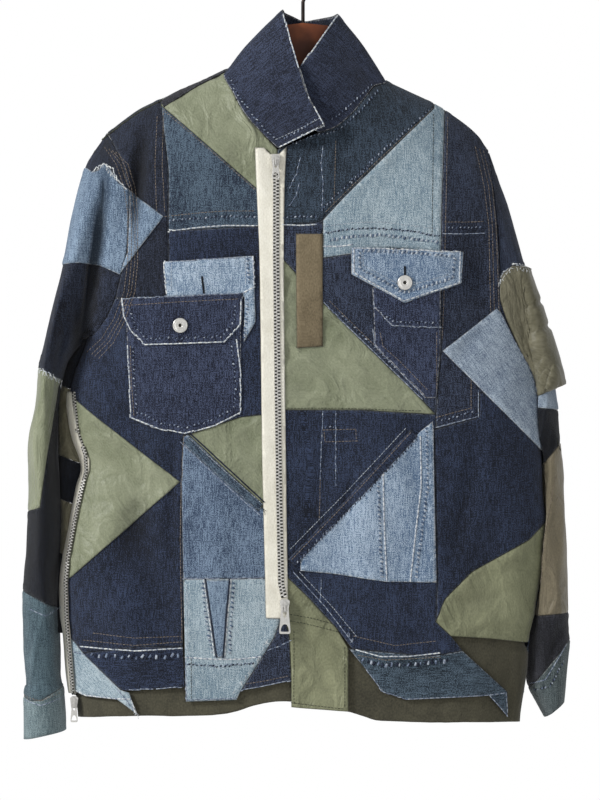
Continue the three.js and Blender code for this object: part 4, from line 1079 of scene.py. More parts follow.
def boxy(xyz, away):
    """How far the arm pocket stands off the sleeve: more at its lower end, less in its creases."""
    low = smooth(-xyz[:, 2], 345, 470)
    creases = 2.6 * np.exp(-(((xyz[:, 2] + 386 - 0.3 * (xyz[:, 0] - 240)) / 3) ** 2))
    creases = creases + 3.0 * np.exp(-(((xyz[:, 2] + 418 - 0.4 * (xyz[:, 0] - 240)) / 3.4) ** 2))
    outer = smooth(xyz[:, 0] - 214 - 0.377 * (-362 - xyz[:, 2]), 3, 24)
    return smooth(away, 0.4, 3.0) * (0.6 + outer * (2.6 + 8 * low - creases) + 0.8 * uneven(xyz[:, 0],
        xyz[:, 2], 14, 4.5))


panel("left_arm_pocket_cloth", "olive_dark", ARM_POCKET, "left sleeve", 1.4, 20, "left_sleeve_pocket",
      pucker=0.5, stand=boxy, full=1.2)
panel("left_sleeve_light_cloth", "mist",
    [(235, -440), (FAR, -440), (FAR, -502), (283, -499), (263, -497), (235, -495)],
      "left sleeve", 0.7, 0, None)
print("sleeves:", len(SLEEVES) + 2, "pieces")

# %% [markdown]
# ## Under-layer and gusset
# A plain cotton band hangs inside the denim and shows below it, so it is one shell all round.
# Behind the open side zip a narrow strip of slanted pieces fills the gap to the sleeve.

# %% Under-layer at the hem
HEM_TOP = -738  # where the under-layer begins, hidden by the waistband
HEM_AROUND = 1080  # its length all the way round


def hem_place(across, down):
    """A band inside the denim, all the way round: the front first, then the back."""
    s = (1 - np.cos(2 * math.pi * across)) / 2
    x, z = np.zeros_like(across), np.full_like(across, -800.0)
    for _ in range(10):
        x = right_side(z) + (left_side(z) - right_side(z)) * s
        z = HEM_TOP + (hem_line(x) - HEM_TOP) * down
    return np.stack([x, np.where(across <= 0.5, front_y(x, z), back_y(x, z)), z], -1)


def hem_cut(xyz, across, down):
    return (across - 0.5) * HEM_AROUND, xyz[:, 2]


shells["hem"] = make_shell(260, 36, hem_place, hem_cut, -1)
hem_outline = [(-FAR, -700), (FAR, -700), (FAR, -900), (-FAR, -900)]


def hem_swing(xyz, away):
    """Beyond the left waistband nothing covers the layer, and it swings out to the side."""
    return 5.0 * smooth(xyz[:, 0], 229, 241) * smooth(-xyz[:, 2], 758, 768)


panel("hem_layer_cloth", "olive", hem_outline, "hem", -4.8, 0, "hem_layer", pucker=0.0, roll=0.0,
      stand=hem_swing)

# %% Gusset behind the side zip
right_inner = through([(ring[2], ring[3]) for ring in RIGHT_SLEEVE])
GUSSET_TOP = -396
GUSSET_LONG = 350


def gusset_place(across, down):
    """A narrow crumpled strip from the side seam to the sleeve, set a little back."""
    z = GUSSET_TOP - GUSSET_LONG * down
    far, near = right_inner(z) - 1.5, right_side(z) + 1.5
    x = far + (near - far) * across
    crumple = 4.0 * uneven(across * 16, z, 22, 12.5) + 2.0 * uneven(across * 16, z, 9, 13.5)
    return np.stack([x, middle(z) + 6 * (1 - across) + (crumple - 5) * np.sin(math.pi * across), z], -1)


def gusset_cut(xyz, across, down):
    return 1.2 * xyz[:, 0] + 5 * across, xyz[:, 2]


shells["gusset"] = make_shell(8, 90, gusset_place, gusset_cut, -1)
# The ink pieces are near-black as painted shade between the sleeve and the body; the olive pieces show the
# gusset's own cloth.
for i, (cloth, high, low) in enumerate((("ink", -380, -478), ("olive_dark", -478, -556), ("ink", -556, -604),
                                       ("olive_dark", -604, -664), ("ink", -664, -780))):
    outline = [(-290, high + 14), (-225, high - 10), (-225, low - 10), (-290, low + 14)]
    panel(f"side_gusset_{i + 1}_cloth", cloth, outline, "gusset", 0.0, 0, None, pucker=0.0, roll=0.0)

# %% [markdown]
# ## Collar
# The collar is a stand of doubled denim that follows the neck seam round the back. Its
# right end crosses over its left end. It is a ruled surface from the seam to its upper
# edge, bowed out a little, with a pale piped edge.

# %% Collar cloth
COLLAR = [
    (-26, -212, "front", 24, -64, -185), (-46, -193, "front", 6, -61, -155),
    (-65, -171, "front", -4, -51, -122), (-77, -149, "front", -13, -34, -91),
    (-87, -124, "front", -21, -6, -57), (-72, -122, "back", -19, 8, -58),
    (-42, -128, "back", -11, 19, -61), (2, -133, "back", 1, 24, -66),
    (46, -130, "back", 16, 20, -64), (78, -130, "back", 31, 8, -62),
    (91, -133, "front", 37, -5, -61), (78, -142, "front", 23, -24, -82),
    (68, -155, "front", 10, -36, -102), (54, -172, "front", -3, -43, -120),
    (35, -188, "front", -14, -46, -140), (16, -194, "front", -23, -46, -162)]


OPEN_FOOT = 0.6  # the collar's foot stands just clear of the yoke in front
OPEN_HALF = 85  # how far out from the middle it does
TUCK = 4.0  # at the sides and the back it tucks under the neck's edge, so that no slit shows


def collar_place():
    rows = []
    for i, (x, z, face, top_x, top_y, top_z) in enumerate(COLLAR):
        in_front = face == "front" and -OPEN_HALF < x < OPEN_HALF
        foot = z + (OPEN_FOOT if in_front else -TUCK)
        at = (front_y if face == "front" else back_y)(np.array([float(x)]), np.array([foot]))[0]
        rows.append((i, x, at, foot, top_x, top_y, top_z))
    columns = [through(rows, k, 0) for k in range(1, 7)]

    def place(across, down):
        t = across * (len(COLLAR) - 1)
        foot = np.stack([columns[k](t) for k in (0, 1, 2)], -1)
        top = np.stack([columns[k](t) for k in (3, 4, 5)], -1)
        up = (1 - down)[:, None]
        p = foot + (top - foot) * up
        out = p - np.array([2.0, -8.0, 0.0])
        out[:, 2] = 0
        out /= np.linalg.norm(out, axis=1, keepdims=True)
        bow = 4 * np.sin(math.pi * up[:, 0]) + 0.8 * uneven(across * 400, down * 90, 22, 3.5)
        return p + out * (bow + 0.9)[:, None]

    return place


def collar_cut(xyz, across, down):
    return (across - 0.5) * 470, (1 - down) * 78


shells["collar"] = make_shell(150, 34, collar_place(), collar_cut, 1)
bm = shells["collar"].copy()
u_layer, v_layer = bm.verts.layers.float["cut_u"], bm.verts.layers.float["cut_v"]
collar_outline = [(-235, 0), (235, 0), (235, 78), (-235, 78)]


def lay_collar(bm):
    """As for a panel, but the outline is the flat pattern's own rectangle."""
    out_layer = bm.verts.layers.float_vector["out"]
    edge_layer, crest_layer = bm.verts.layers.float.new("edge"), bm.verts.layers.float.new("crest")
    cut = np.array([(v[u_layer], v[v_layer]) for v in bm.verts])
    away, along = from_edge(cut, collar_outline)
    wave = np.array([noise.noise(Vector((a / 4.6, 31, 0.3))) for a in along])
    near = smooth(away, 0.2, 2.2) * (1 - smooth(away, 7, 12))
    bm.verts.ensure_lookup_table()
    bm.verts.index_update()
    for i, vert in enumerate(bm.verts):
        lift = 0.45 * wave[i] * near[i] + 0.4 * float(smooth(away[i], 0, 2) * (1 - smooth(away[i], 7, 10)))
        vert.co = (vert.co + vert[out_layer] * lift) * MM
        vert[edge_layer] = float(away[i]) * MM
        vert[crest_layer] = float(wave[i] * near[i])
    uv = bm.loops.layers.uv.new("cut")
    for face in bm.faces:
        for loop in face.loops:
            u, v = cut[loop.vert.index] * MM
            loop[uv].uv = (u, v)
    return cut * MM


cut = lay_collar(bm)
collar = finish_cloth(bm, "collar_cloth", "collar", "collar_blue", 2.4, cut, 0.46 * 0.07)

# %% [markdown]
# ## Finding the cloth again
# Thread, zip teeth and frayed ends sit on whatever cloth is outermost. A ray from the
# front, or from the back, finds it, and says which piece it hit.

# %% Rays
def find_cloth():
    verts, faces, owners = [], [], []
    for name, piece in pieces.items():
        start = len(verts)
        verts += [v.co.copy() for v in piece.data.vertices]
        for polygon in piece.data.polygons:
            faces.append([start + i for i in polygon.vertices])
            owners.append(name)
    return BVHTree.FromPolygons(verts, faces), owners


cloth_tree, owners = find_cloth()


def on_cloth(x, z, back=False):
    """Where the outer side of the cloth is at a place in the front view, its normal and its piece."""
    sign = 1 if back else -1
    hit, normal, index, _ = cloth_tree.ray_cast(Vector((x * MM, sign * 0.5, z * MM)), Vector((0, -sign, 0)))
    if hit is None or normal.y * sign < 0:
        return None
    return hit, normal, owners[index]


print("cloth pieces:", len(pieces), "faces:", len(owners))

# %% [markdown]
# ## Straps and trims
# A few seams carry a narrow strap: a raw-edged strip laid over the join and sewn down along
# both sides. It is cut like any other piece, from the outline of a ribbon along a line.

# %% Straps
STRAPS = [
    ("right_shoulder_trim", "black_navy", 0, 8, [(-156, -161), (-119, -137), (-84, -119)]),
    ("left_front_strap", "navy", 1, 10, [(122, -524), (54, -598), (-13, -667)]),
    ("right_waist_strap", "faded_deep", 0, 9, [(-129, -532), (-89, -569), (-46, -607)])]
panel("right_hem_dart_cloth", "sky", [(-108, -686), (-80, -686), (-87, -771), (-95, -771)], "front",
    0.9, 0, None,
      pucker=0.4, roll=0.4)
for name, cloth, level, width, points in STRAPS:
    panel(name + "_cloth", cloth, ribbon(points, width * 1.1), "front", LEVEL[level] + 0.9, 45, None,
          pucker=0.4, roll=0.6)
cloth_tree, owners = find_cloth()
print("straps:", len(STRAPS))

# %% [markdown]
# ## Thread
# A topstitch is a row of short raised threads with small gaps. Each stitch is one little
# five-sided rod pressed into the cloth. The same rod, set end to end, is the cord-like ridge
# of a worn folded edge, and set across a seam it is the roping that washing leaves there.

# %% Rods along a line
def walk(points, pitch):
    """Even steps along a line: place and direction."""
    steps, left = [], 0.0
    for (x1, z1), (x2, z2) in zip(points, points[1:]):
        length = math.hypot(x2 - x1, z2 - z1)
        at = left
        while at < length:
            steps.append((x1 + (x2 - x1) * at / length, z1 + (z2 - z1) * at / length,
                          (x2 - x1) / length, (z2 - z1) / length))
            at += pitch
        left = at - length
    return steps


def seated(x, z, dx, dz, back=False, owner=None, lean=0.0):
    """A matrix on the cloth there: its Z runs along the line, leant over, and its Y points out."""
    for aside in (0, 1, -1, 2, -2, 3, -3):
        found = on_cloth(x - dz * aside, z + dx * aside, back)
        if found and (owner is None or found[2] == owner):
            break
    else:
        return None
    place, normal, _ = found
    along = Matrix.Rotation(lean, 3, normal) @ Vector((dx, 0, dz))
    along = along - normal * along.dot(normal)
    if along.length < 0.3:
        return None
    along.normalize()
    turn = Matrix((along.cross(normal), normal, along)).transposed().to_4x4()
    return Matrix.Translation(place + normal * 0.1 * MM) @ turn


# Kind of row: pitch, length, radius, lean in degrees, jitter and the colours that alternate.
ROWS = {
    "tan": (3.7, 2.7, 0.34, 0, 0.1, ("tan",)), "pale": (3.7, 2.7, 0.34, 0, 0.1, ("pale",)),
    "dash": (3.7, 2.6, 0.34, 0, 0.1, ("dark",)),
    "thin": (2.0, 2.6, 0.5, 0, 0.12, ("worn", "worn", "worn_blue")),
    "cord": (1.8, 2.4, 0.75, 0, 0.12, ("white", "white", "worn")),
    "worn": (2.6, 2.4, 0.5, 0, 0.4, ("worn_blue", "worn", "worn_blue")),
    "rope": (2.2, 2.3, 0.68, 40, 0.8, ("worn_blue", "ink", "worn", "ink")),
    "rope_dark": (2.6, 3.2, 0.85, 66, 0.7, ("dark_blue", "pale")),
    "rope_wide": (4.0, 4.4, 1.3, 70, 1.3, ("worn_blue", "ink", "worn", "ink")),
    "dots": (2.4, 2.1, 0.65, 45, 0.8, ("worn_blue", "ink", "worn", "ink")),
    # groove: ink rods beside a cord or a seam, painted shade in the seam's groove.
    "groove_shade": (1.8, 2.6, 0.8, 0, 0.1, ("ink",)), "piping": (1.8, 2.6, 1.1, 0, 0.2, ("dark",)),
    # hole: a close run of black rods, painted shade in a buttonhole's slit.
    "hole": (1.0, 2.0, 1.1, 0, 0.05, ("black",)), "loops": (1.7, 2.6, 0.6, 0, 0.8, ("white",))}
rods = {}


def sew(kind, points, owner=None, back=False):
    pitch, length, radius, lean, jitter, colours = ROWS[kind]
    for i, (x, z, dx, dz) in enumerate(walk(points, pitch)):
        x, z = x + random.uniform(-jitter, jitter), z + random.uniform(-jitter, jitter)
        seat = seated(x, z, dx, dz, back, owner, math.radians(lean + random.uniform(-18, 18) * jitter))
        if seat:
            size = random.uniform(0.7, 1.15) if lean else 1.0
            rods.setdefault(colours[i % len(colours)], []).append((seat, length * size, radius * size))


# %% Rows of the front
LINES = [
    ("cord", "collar_cloth", [(23, -186), (6, -155), (-4, -122), (-13, -91), (-20, -60)]),
    ("cord", "collar_cloth", [(-25, -209), (-1, -198), (23, -186)]),
    ("cord", "collar_cloth", [(37, -62), (16, -93), (-2, -120)]),
    ("rope", "collar_cloth", [(-21, -200), (-1, -190), (15, -179)]),
    ("pale", "collar_cloth", [(-29, -201), (-3, -190), (18, -179)]),
    ("rope", "collar_cloth", [(-81, -132), (-74, -148), (-58, -171), (-43, -189), (-30, -201)]),
    ("rope", "collar_cloth", [(75, -140), (58, -158), (43, -171), (30, -179)]),
    ("rope", None, [(82, -147), (65, -168), (48, -184), (32, -194), (14, -196), (1, -199), (-14, -206)]),
        ("cord", None, [(-148, -302), (-113, -298), (-86, -296), (-51, -296)]),
    ("rope", None, [(-146, -291), (-113, -288), (-86, -286), (-52, -286)]),
    ("rope", None, [(-21, -287), (-4, -286), (16, -286)]),
    ("cord", None, [(-22, -295), (-3, -296), (14, -295)]),
    ("tan", None, [(-151, -286), (-113, -282), (-86, -280), (-52, -280)]),
    ("tan", None, [(-154, -172), (-155, -230), (-152, -281)]),
    ("tan", None, [(-161, -176), (-163, -230), (-161, -283)]),
    ("tan", "right_chest_cloth", [(-154, -168), (-102, -213), (-52, -257)]),
    ("tan", None, [(-219, -209), (-206, -228), (-197, -255), (-193, -284), (-193, -336), (-197, -369),
    (-208, -398), (-222, -420), (-239, -435)]),
    ("tan", None, [(-214, -211), (-201, -228), (-192, -255), (-189, -284), (-189, -336), (-192, -369),
    (-203, -398), (-217, -422), (-234, -438)]),
    ("tan", None, [(-210, -213), (-197, -228), (-189, -255), (-185, -284), (-185, -336), (-189, -369),
    (-199, -398), (-213, -423), (-230, -440)]),
    ("tan", None, [(-206, -215), (-193, -228), (-185, -255), (-182, -284), (-182, -336), (-185, -369),
    (-195, -398), (-209, -425), (-226, -443)]),
    ("tan", "left_yoke_cloth", [(143, -167), (85, -222), (25, -281)]),
    ("rope", "left_yoke_cloth", [(139, -168), (80, -221), (21, -278)]),
    ("rope", "left_yoke_cloth", [(76, -227), (65, -238), (54, -249)]),
    ("worn", None, [(22, -209), (20, -230), (22, -246), (21, -279)]),
    ("worn", None, [(-3, -222), (-7, -239), (-15, -255)]),
    ("worn", None, [(-4, -250), (-8, -264), (-15, -275)]),
        ("tan", None, [(36, -204), (35, -246), (34, -274)]),
    ("dash", "left_chest_light_cloth", [(144, -173), (143, -235), (142, -308)]),
    ("rope", "left_chest_light_cloth", [(25, -304), (54, -300), (85, -299), (118, -302), (151, -308)]),
    ("rope_dark", "left_chest_light_cloth", [(30, -312), (54, -308), (85, -306), (118, -310),
    (151, -315)]),
    ("pale", "left_chest_light_cloth", [(24, -297), (54, -293), (85, -292), (118, -296), (152, -300)]),
    ("cord", None, [(23, -319), (41, -319), (54, -317)]),
    ("thin", None, [(155, -305), (178, -305), (199, -304)]),
    ("rope", None, [(160, -298), (179, -298), (199, -297)]),
    ("tan", None, [(157, -292), (178, -292), (199, -291)]),
    ("tan", "left_side_upper_cloth", [(200, -213), (209, -252), (213, -296), (215, -350), (216, -391),
    (228, -422), (243, -446)]),
    ("tan", "left_side_upper_cloth", [(196, -211), (205, -252), (209, -296), (210, -350), (211, -391),
    (223, -422), (239, -446)]),
    ("tan", "left_side_upper_cloth", [(191, -209), (200, -252), (205, -296), (206, -350), (207, -391),
    (219, -422), (234, -446)]),
    ("tan", "left_side_upper_cloth", [(160, -176), (158, -246), (155, -378), (153, -422)]),
    ("thin", None, [(147, -518), (170, -512), (193, -506)]),
    ("thin", None, [(193, -506), (193, -488), (193, -477)]),
    ("rope", None, [(148, -511), (169, -506), (187, -500)]),
    ("tan", None, [(147, -507), (169, -501), (185, -497)]),
    ("tan", None, [(185, -497), (185, -466)]),
    ("cord", "right_pocket_flap_cloth", [(-199, -377), (-197, -396), (-189, -412), (-175, -427),
    (-141, -426), (-87, -424), (-78, -417), (-69, -404), (-68, -378)]),
    ("thin", "right_pocket_flap_cloth", [(-199, -375), (-135, -372), (-69, -370)]),
    ("tan", "right_pocket_flap_cloth", [(-195, -384), (-135, -380), (-73, -377)]),
    ("dots", "right_pocket_flap_cloth", [(-191, -389), (-185, -407), (-172, -421), (-141, -420),
    (-89, -418), (-76, -402), (-74, -385)]),
    ("cord", "right_pocket_cloth", [(-194, -429), (-193, -466), (-190, -507), (-157, -520),
    (-129, -526), (-97, -517), (-69, -503), (-67, -483), (-69, -453), (-73, -422)]),
    ("dots", "right_pocket_cloth", [(-187, -430), (-186, -466), (-183, -501), (-156, -513),
    (-129, -519), (-99, -510), (-77, -498), (-74, -479), (-76, -453), (-79, -428)]),
    ("tan", "right_pocket_cloth", [(-190, -430), (-189, -466), (-186, -505)]),
    ("cord", "right_light_patch_cloth", [(-153, -336), (-152, -356), (-150, -371)]),
    ("cord", "right_light_patch_cloth", [(-53, -331), (-52, -363), (-66, -370)]),
    ("thin", "right_light_patch_cloth", [(-152, -335), (-102, -333), (-54, -331)]),
    ("pale", "right_light_patch_cloth", [(-145, -336), (-145, -369)]),
    ("rope_dark", "right_light_patch_cloth", [(-61, -333), (-59, -360)]),
    ("pale", "right_light_patch_cloth", [(-64, -333), (-63, -360)]),
    ("rope_dark", "right_light_patch_cloth", [(-61, -378), (-64, -420)]),
    ("hole", None, [(-111, -353), (-110, -362), (-109, -370)]),
    ("cord", "left_pocket_flap_cloth", [(56, -318), (56, -348), (111, -379), (172, -359), (173, -325),
    (140, -322), (107, -319), (56, -318)]),
    ("rope_dark", "left_pocket_flap_cloth", [(62, -324), (62, -343), (111, -370), (165, -354),
    (167, -330)]),
    ("pale", "left_pocket_flap_cloth", [(66, -325), (66, -340), (111, -364), (161, -350)]),
    ("rope_dark", "left_pocket_flap_cloth", [(65, -324), (107, -325), (164, -330)]),
    ("hole", None, [(112, -342), (112, -346), (112, -352)]),
    ("thin", "left_under_flap_cloth", [(76, -381), (78, -394), (98, -407), (151, -409)]),
    ("rope", "left_under_flap_cloth", [(84, -387), (86, -393), (102, -402), (148, -403)]),
    ("thin", None, [(77, -411), (79, -428), (96, -446), (134, -485)]),
    ("tan", "left_pocket_cloth", [(85, -415), (88, -429), (107, -446), (138, -478)]),
    ("tan", "left_pocket_cloth", [(147, -415), (147, -477)]),
    ("thin", None, [(23, -382), (76, -433), (131, -487)]),
    ("tan", "left_chest_cloth", [(30, -380), (80, -429), (138, -485)]),
    ("rope", "left_chest_cloth", [(41, -393), (76, -428), (105, -456)]),
    ("dash", "left_front_satin_cloth", [(-16, -497), (41, -497), (129, -500)]),
    ("worn", None, [(22, -501), (20, -543), (19, -576)]),
    ("worn", None, [(36, -501), (36, -541), (36, -583)]),
    ("tan", None, [(19, -576), (18, -620)]),
    ("tan", None, [(23, -521), (58, -520), (59, -533), (24, -534), (23, -521)]),
    ("rope", None, [(25, -518), (37, -517)]),
    ("tan", "left_front_strap_cloth", [(120, -522), (52, -596), (-12, -663)]),
    ("pale", "left_front_cloth", [(112, -520), (46, -591), (-14, -652)]),
    ("rope", None, [(126, -530), (60, -600), (-8, -668)]),
    ("cord", "left_lower_light_cloth", [(88, -569), (89, -620), (92, -687)]),
    ("rope_dark", "left_lower_light_cloth", [(83, -580), (84, -620), (87, -683)]),
    ("cord", "left_lower_light_cloth", [(129, -529), (130, -583), (124, -631), (118, -687)]),
    ("rope_dark", "left_lower_light_cloth", [(136, -519), (137, -583), (131, -631), (124, -684)]),
    ("pale", "left_lower_light_cloth", [(143, -514), (144, -598), (144, -686)]),
    ("worn", None, [(20, -684), (19, -708)]),
    ("thin", "left_front_cloth", [(-10, -678), (24, -715), (54, -754)]),
    ("pale", "left_front_cloth", [(-3, -678), (31, -714), (59, -748)]),
    ("tan", "left_front_cloth", [(57, -748), (101, -758), (148, -753)]),
    ("cord", None, [(59, -763), (85, -770), (118, -770), (151, -766)]),
    ("rope_wide", "left_waistband_cloth", [(67, -775), (90, -779), (123, -779), (162, -774)]),
    ("tan", "left_waistband_cloth", [(62, -769), (90, -774), (151, -771)]),
    ("thin", "left_waistband_cloth", [(69, -787), (86, -809), (101, -815), (114, -817), (206, -813),
    (224, -811), (226, -836)]),
    ("thin", None, [(206, -814), (216, -825), (226, -837)]),
    ("dash", "left_placket_cloth", [(-13, -724), (10, -728), (32, -734)]),
    ("dash", "left_placket_cloth", [(-13, -731), (12, -736), (38, -743)]),
    ("dash", "left_placket_cloth", [(-10, -743), (-10, -822)]),
    ("dash", "left_placket_cloth", [(46, -761), (46, -827)]),
    ("dash", "left_placket_cloth", [(-12, -821), (46, -828)]),
    ("tan", None, [(-230, -745), (-185, -750), (-134, -748)]),
    ("tan", None, [(-241, -753), (-185, -758), (-134, -754)]),
    ("cord", None, [(-245, -760), (-218, -762), (-185, -764), (-133, -761)]),
    ("rope_wide", "right_waistband_cloth", [(-232, -769), (-201, -771), (-168, -771), (-135, -769)]),
    ("thin", "right_waistband_cloth", [(-190, -809), (-163, -809), (-134, -806)]),
    ("thin", None, [(-261, -764), (-250, -767), (-241, -769)]),
    ("cord", "right_corner_cloth", [(-256, -807), (-240, -814), (-205, -817), (-190, -817),
    (-183, -833)]),
    ("thin", "right_corner_cloth", [(-204, -807), (-194, -819), (-184, -833)]),
    ("tan", None, [(-131, -528), (-134, -576), (-135, -642), (-134, -708), (-133, -752)]),
    ("cord", None, [(-109, -686), (-104, -721), (-97, -771)]),
    ("groove_shade", None, [(-107, -686), (-102, -721), (-95, -771)]),
    ("cord", None, [(-79, -686), (-83, -730), (-86, -771)]),
    ("groove_shade", None, [(-81, -686), (-85, -730), (-88, -771)]),
    ("rope_dark", None, [(-110, -690), (-107, -721), (-100, -766)]),
    ("rope_dark", None, [(-76, -690), (-79, -730), (-81, -767)]),
    ("cord", None, [(-130, -771), (-97, -773), (-69, -773), (-45, -770)]),
    ("rope", "right_hem_light_cloth", [(-127, -778), (-97, -781), (-54, -778)]),
    ("dash", "right_hem_light_cloth", [(-123, -774), (-123, -816)]),
    ("thin", "right_hem_light_cloth", [(-130, -774), (-129, -818), (-74, -816)]),
    ("pale", "right_hem_light_cloth", [(-128, -692), (-127, -765)]),
    ("thin", "right_waist_cloth", [(-131, -685), (-86, -688), (-45, -685)]),
    ("worn", None, [(-38, -763), (-25, -758), (-14, -753)]),
    ("thin", "right_hem_dark_cloth", [(-69, -809), (-45, -805), (-14, -798)]),
    ("tan", "right_hem_dark_cloth", [(-61, -800), (-42, -797), (-14, -791)]),
    ("pale", None, [(-127, -528), (-86, -566), (-44, -603)]),
    ("thin", None, [(-134, -535), (-92, -575), (-47, -615)]),
    ("groove_shade", None, [(-124, -525), (-84, -562), (-43, -600)]),
    ("thin", None, [(252, -802), (268, -797), (292, -758)]),
    ("rope", "left_cuff_cloth", [(256, -809), (272, -805), (289, -776)]),
    ("tan", "left_sleeve_tan_cloth", [(279, -574), (268, -631), (257, -708), (253, -728)]),
    ("thin", None, [(-309, -819), (-289, -825), (-264, -816)]),
    ("tan", None, [(-308, -815), (-289, -820), (-265, -810)]),
    ("thin", None, [(-301, -719), (-284, -726), (-267, -717)]),
    ("loops", None, [(-232, -236), (-229, -231), (-219, -227), (-210, -233), (-204, -246), (-195, -255)]),
    ("loops", None, [(-294, -452), (-283, -457), (-268, -466), (-268, -475)]),
    ("loops", None, [(216, -360), (220, -348), (226, -343)]),
    ("loops", None, [(232, -338), (240, -339), (249, -340)]),
    ("piping", None, [(-222, -199), (-200, -182), (-180, -168), (-157, -157)]),
    ("worn", None, [(219, -396), (234, -424), (250, -452), (258, -478)])]
for kind, owner, points in LINES:
    sew(kind, points, owner)
for name, _, outline in BACK:
    for inside in (2, 8):
        line = inset(outline, inside)
        sew("tan", line + line[:1], name + "_cloth", True)
print("rods:", {colour: len(places) for colour, places in rods.items()})

# %% Frayed ends
FRAYS = [
    ("white", 26, [(-232, -236), (-219, -227), (-204, -246), (-195, -255)]),
    ("white", 22, [(-294, -452), (-268, -466)]),
    ("white", 22, [(216, -360), (230, -341), (249, -343)]),
    ("worn", 7, [(34, -624), (14, -642)]),
    ("white", 22, [(-38, -750), (-52, -776), (-78, -811)]),
    ("dark", 14, [(-293, -435), (-294, -451)]),
    ("dark", 10, [(-237, -203), (-231, -213)]),
    ("dark", 18, [(-45, -600), (-43, -611)]),
    ("white", 10, [(-185, -827), (-182, -836)]),
    ("dark", 14, [(246, -336), (250, -341)]),
    ("white", 8, [(261, -831), (263, -842)]),
    ("worn", 6, [(56, -752), (50, -743)]),
    ("dark", 14, [(281, -530), (284, -540)])]


def fray(colour, count, points):
    """Loose ends: each a thin thread of three short rods that curls down from the edge."""
    steps = walk(points, 0.4)
    for _ in range(count):
        x, z, dx, dz = random.choice(steps)
        seat = seated(x, z, random.uniform(-0.8, 0.8), -1)
        if seat is None:
            continue
        for _ in range(3):
            step = random.uniform(1.0, 2.0)
            curl = Matrix.Rotation(random.uniform(-0.5, 0.5),
                4, "Y") @ Matrix.Rotation(random.uniform(0, 0.2), 4, "X")
            seat = seat @ Matrix.Translation((0, 0.05 * MM, step * 0.5 * MM))
            rods.setdefault(colour, []).append((seat.copy(), step * 1.1, 0.26))
            seat = seat @ Matrix.Translation((0, 0, step * 0.5 * MM)) @ curl


for colour, count, points in FRAYS:
    fray(colour, count, points)

# %% Joined rods
def join_rods(name, places):
    """All rods of one colour as one mesh, built a few dozen at a time."""
    whole = bmesh.new()
    for start in range(0, len(places), 60):
        few = bmesh.new()
        for seat, length, radius in places[start:start + 60]:
            bmesh.ops.create_cone(few, cap_ends=True, segments=5, radius1=radius * MM, radius2=radius * MM,
                                  depth=length * MM, matrix=seat)
        mesh = to_mesh("few", few)
        whole.from_mesh(mesh)
        bpy.data.meshes.remove(mesh)
    mesh = to_mesh(name, whole)
    mesh.polygons.foreach_set("use_smooth", [True] * len(mesh.polygons))
    return link(name, mesh)


def plain(name, colour_text, roughness, shade_text=None, scale=60.0, metallic=0.0, depth=0.0002):
    """A hard finish with a slight unevenness in its colour and its surface."""
    material, tree, shader = new_material(name, roughness, 0.0, metallic)
    where = add(tree, "TexCoord").outputs["Object"]
    cloud = add(tree, "TexNoise", {"Vector": where, "Scale": scale, "Detail": 3.0})
    level = spread(tree, cloud.outputs["Fac"], 0.3, 0.7)
    colour = blend(tree, "MIX", level, rgb(shade_text or colour_text), rgb(colour_text))
    tree.links.new(colour, shader.inputs["Base Color"])
    bump(tree, shader, cloud.outputs["Fac"], depth, 0.6)
    return material


COLOURS = {
    "tan": ("94887c", "655b50"), "pale": ("c3c9cf", "848e9b"), "dark": ("3f4238", "2a2b26"),
    "worn": ("b4bcc8", "6a7489"), "worn_blue": ("7e8ba0", "465269"), "white": ("e4e6e4", "a9b0b8"),
    "dark_blue": ("5d7089", "33425a"),
    "ink": ("252d40", "131826"), "black": ("0d1018", "060709")}
for colour, places in rods.items():
    joined = join_rods("thread_" + colour, places)
    joined.data.materials.append(plain(colour + " thread", COLOURS[colour][0], 0.8, COLOURS[colour][1],
        260.0))
    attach(joined, "jacket")

# %% [markdown]
# ## Zip
# The teeth of the two sides interlock, half a pitch apart. A slider closes them, and its
# pull tab hangs from a bail. The slider shapes come from the frame and get their metal
# here. The tabs are made anew further down, in the boxes of the frame's tabs.

# %% Teeth
def joined_boxes(name, places, size, rounding, material):
    """The same small box at many places, as one mesh."""
    row = bmesh.new()
    for start in range(0, len(places), 40):
        few = bmesh.new()
        for place in places[start:start + 40]:
            bmesh.ops.create_cube(few, size=1.0, matrix=place @ Matrix.Diagonal((*(v * MM for v in size), 1)))
        if rounding:
            bmesh.ops.bevel(few, geom=few.edges[:], offset=rounding * MM, offset_type="OFFSET", segments=1,
                            profile=0.5, affect="EDGES", material=-1)
        mesh = to_mesh("few", few)
        row.from_mesh(mesh)
        bpy.data.meshes.remove(mesh)
    made = link(name, to_mesh(name, row))
    made.data.materials.append(material)
    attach(made, "jacket")


def teeth(name, points, width, pitch):
    """Teeth of both tapes by turns, and a dark strip just behind them, seen between them as painted shadow.
    """
    tooth, dark = [], []
    for i, (x, z, dx, dz) in enumerate(walk(points, pitch / 2)):
        seat = seated(x, z, dx, dz)
        if seat is None:
            continue
        aside = width * (0.21 if i % 2 else -0.21)
        tooth.append(seat @ Matrix.Translation((aside * MM, 0.7 * MM, 0)))
        # A dark box a little behind each tooth: painted shadow between the teeth.
        dark.append(seat @ Matrix.Translation((0, 0.3 * MM, 0)))
    joined_boxes(name, tooth, (width * 0.56, 1.9, pitch * 0.5), 0.35, metal)
    joined_boxes(name + "_gap_shadow", dark, (width * 0.86, 0.9, pitch * 0.6), 0, gap)
    print(name, len(tooth), "teeth")


